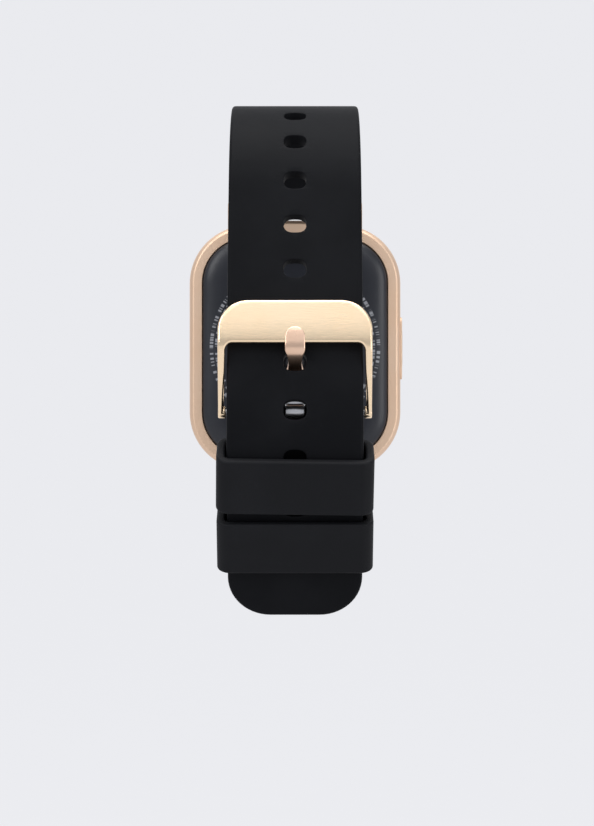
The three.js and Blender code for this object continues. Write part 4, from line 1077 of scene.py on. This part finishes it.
# %% [markdown]
# ## Light, floor and camera
#
# The watch hangs in a light tent: pale all round, with a large soft light overhead and four
# weaker ones: high on the left, level on the right, and high and low in front. The floor sweeps
# up into the wall in one curve, so that no line shows where they meet. It glows a little, as the
# walls of a light tent do.

# %% The floor
FLOOR_Z, FLOOR_HALF, FLOOR_FRONT, WALL_FOOT, COVE_R = -0.16, 1.6, -1.0, 0.7, 0.6


def sweep_floor():
    bm = bmesh.new()
    a = bm.verts.new((-FLOOR_HALF, FLOOR_FRONT, FLOOR_Z))
    b = bm.verts.new((-FLOOR_HALF, WALL_FOOT, FLOOR_Z))
    bm.edges.new((a, b))
    spun = bmesh.ops.spin(bm, geom=[b], cent=(-FLOOR_HALF, WALL_FOOT, FLOOR_Z + COVE_R),
                          axis=(1, 0, 0), angle=pi / 2, steps=16, use_merge=False)
    top = next(v for v in spun["geom_last"] if isinstance(v, bmesh.types.BMVert))
    end = bm.verts.new(top.co + Vector((0, 0, 1.2)))
    bm.edges.new((top, end))
    made = bmesh.ops.extrude_edge_only(bm, edges=bm.edges[:])
    far = [v for v in made["geom"] if isinstance(v, bmesh.types.BMVert)]
    bmesh.ops.translate(bm, verts=far, vec=(2 * FLOOR_HALF, 0, 0))
    for f in bm.faces:
        f.smooth = True
    mesh = bpy.data.meshes.new("floor")
    bm.to_mesh(mesh)
    bm.free()
    floor = bpy.data.objects.new("floor", mesh)
    bpy.context.collection.objects.link(floor)
    paper = Look("paper", Roughness=0.9, Emission_Strength=1.0, Specular_IOR_Level=0.0)
    mottle = paper.noise(0.02, 3)
    paper.set(Base_Color=paper.mix(mottle, (0.03, 0.03, 0.03), (0.035, 0.035, 0.035)),
              Emission_Color=(0.80, 0.806, 0.838))
    mesh.materials.append(paper.material)


sweep_floor()

# %% Lights
world = bpy.data.worlds.new("tent")
bpy.context.scene.world = world
world.use_nodes = True
world.node_tree.nodes["Background"].inputs["Color"].default_value = (0.80, 0.82, 0.87, 1)
world.node_tree.nodes["Background"].inputs["Strength"].default_value = 0.62


def softbox(name, place, target, size, power):
    """A square area light at place, turned to target."""
    lamp = bpy.data.lights.new(name, "AREA")
    lamp.shape, lamp.size, lamp.size_y, lamp.energy = "RECTANGLE", *size, power
    lit = bpy.data.objects.new(name, lamp)
    lit.location = place
    lit.rotation_euler = (Vector(target) - Vector(place)).to_track_quat("-Z", "Y").to_euler()
    bpy.context.collection.objects.link(lit)


softbox("overhead", (0, -0.05, 0.55), (0, -0.01, 0), (0.6, 0.5), 3.2)
softbox("left_high", (-0.42, -0.4, 0.3), (0, -0.02, 0), (0.3, 0.4), 1.4)
softbox("right", (0.45, -0.35, 0.05), (0, 0, 0), (0.3, 0.4), 0.9)
softbox("front_high", (0.08, -0.5, 0.42), (0, -0.04, 0), (0.5, 0.22), 0.5)
softbox("front_low", (0, -0.5, -0.25), (0, -0.04, -0.03), (0.4, 0.2), 0.5)

# %% [markdown]
# The camera stands level, a little over 30 cm away, which is close enough for the near band to
# look larger than the case behind it. It is shifted down rather than tilted, so that upright
# lines stay upright.

# %% Camera
camera = bpy.data.objects.new("camera", bpy.data.cameras.new("camera"))
bpy.context.collection.objects.link(camera)
camera.location = (0, -0.325, -0.00207)
camera.rotation_euler = (pi / 2, 0, 0)
camera.data.lens = 84.07
camera.data.shift_x, camera.data.shift_y = 0.0024, -0.0642
camera.data.clip_start = 0.01
bpy.context.scene.camera = camera
bpy.context.scene.view_settings.view_transform = "Standard"
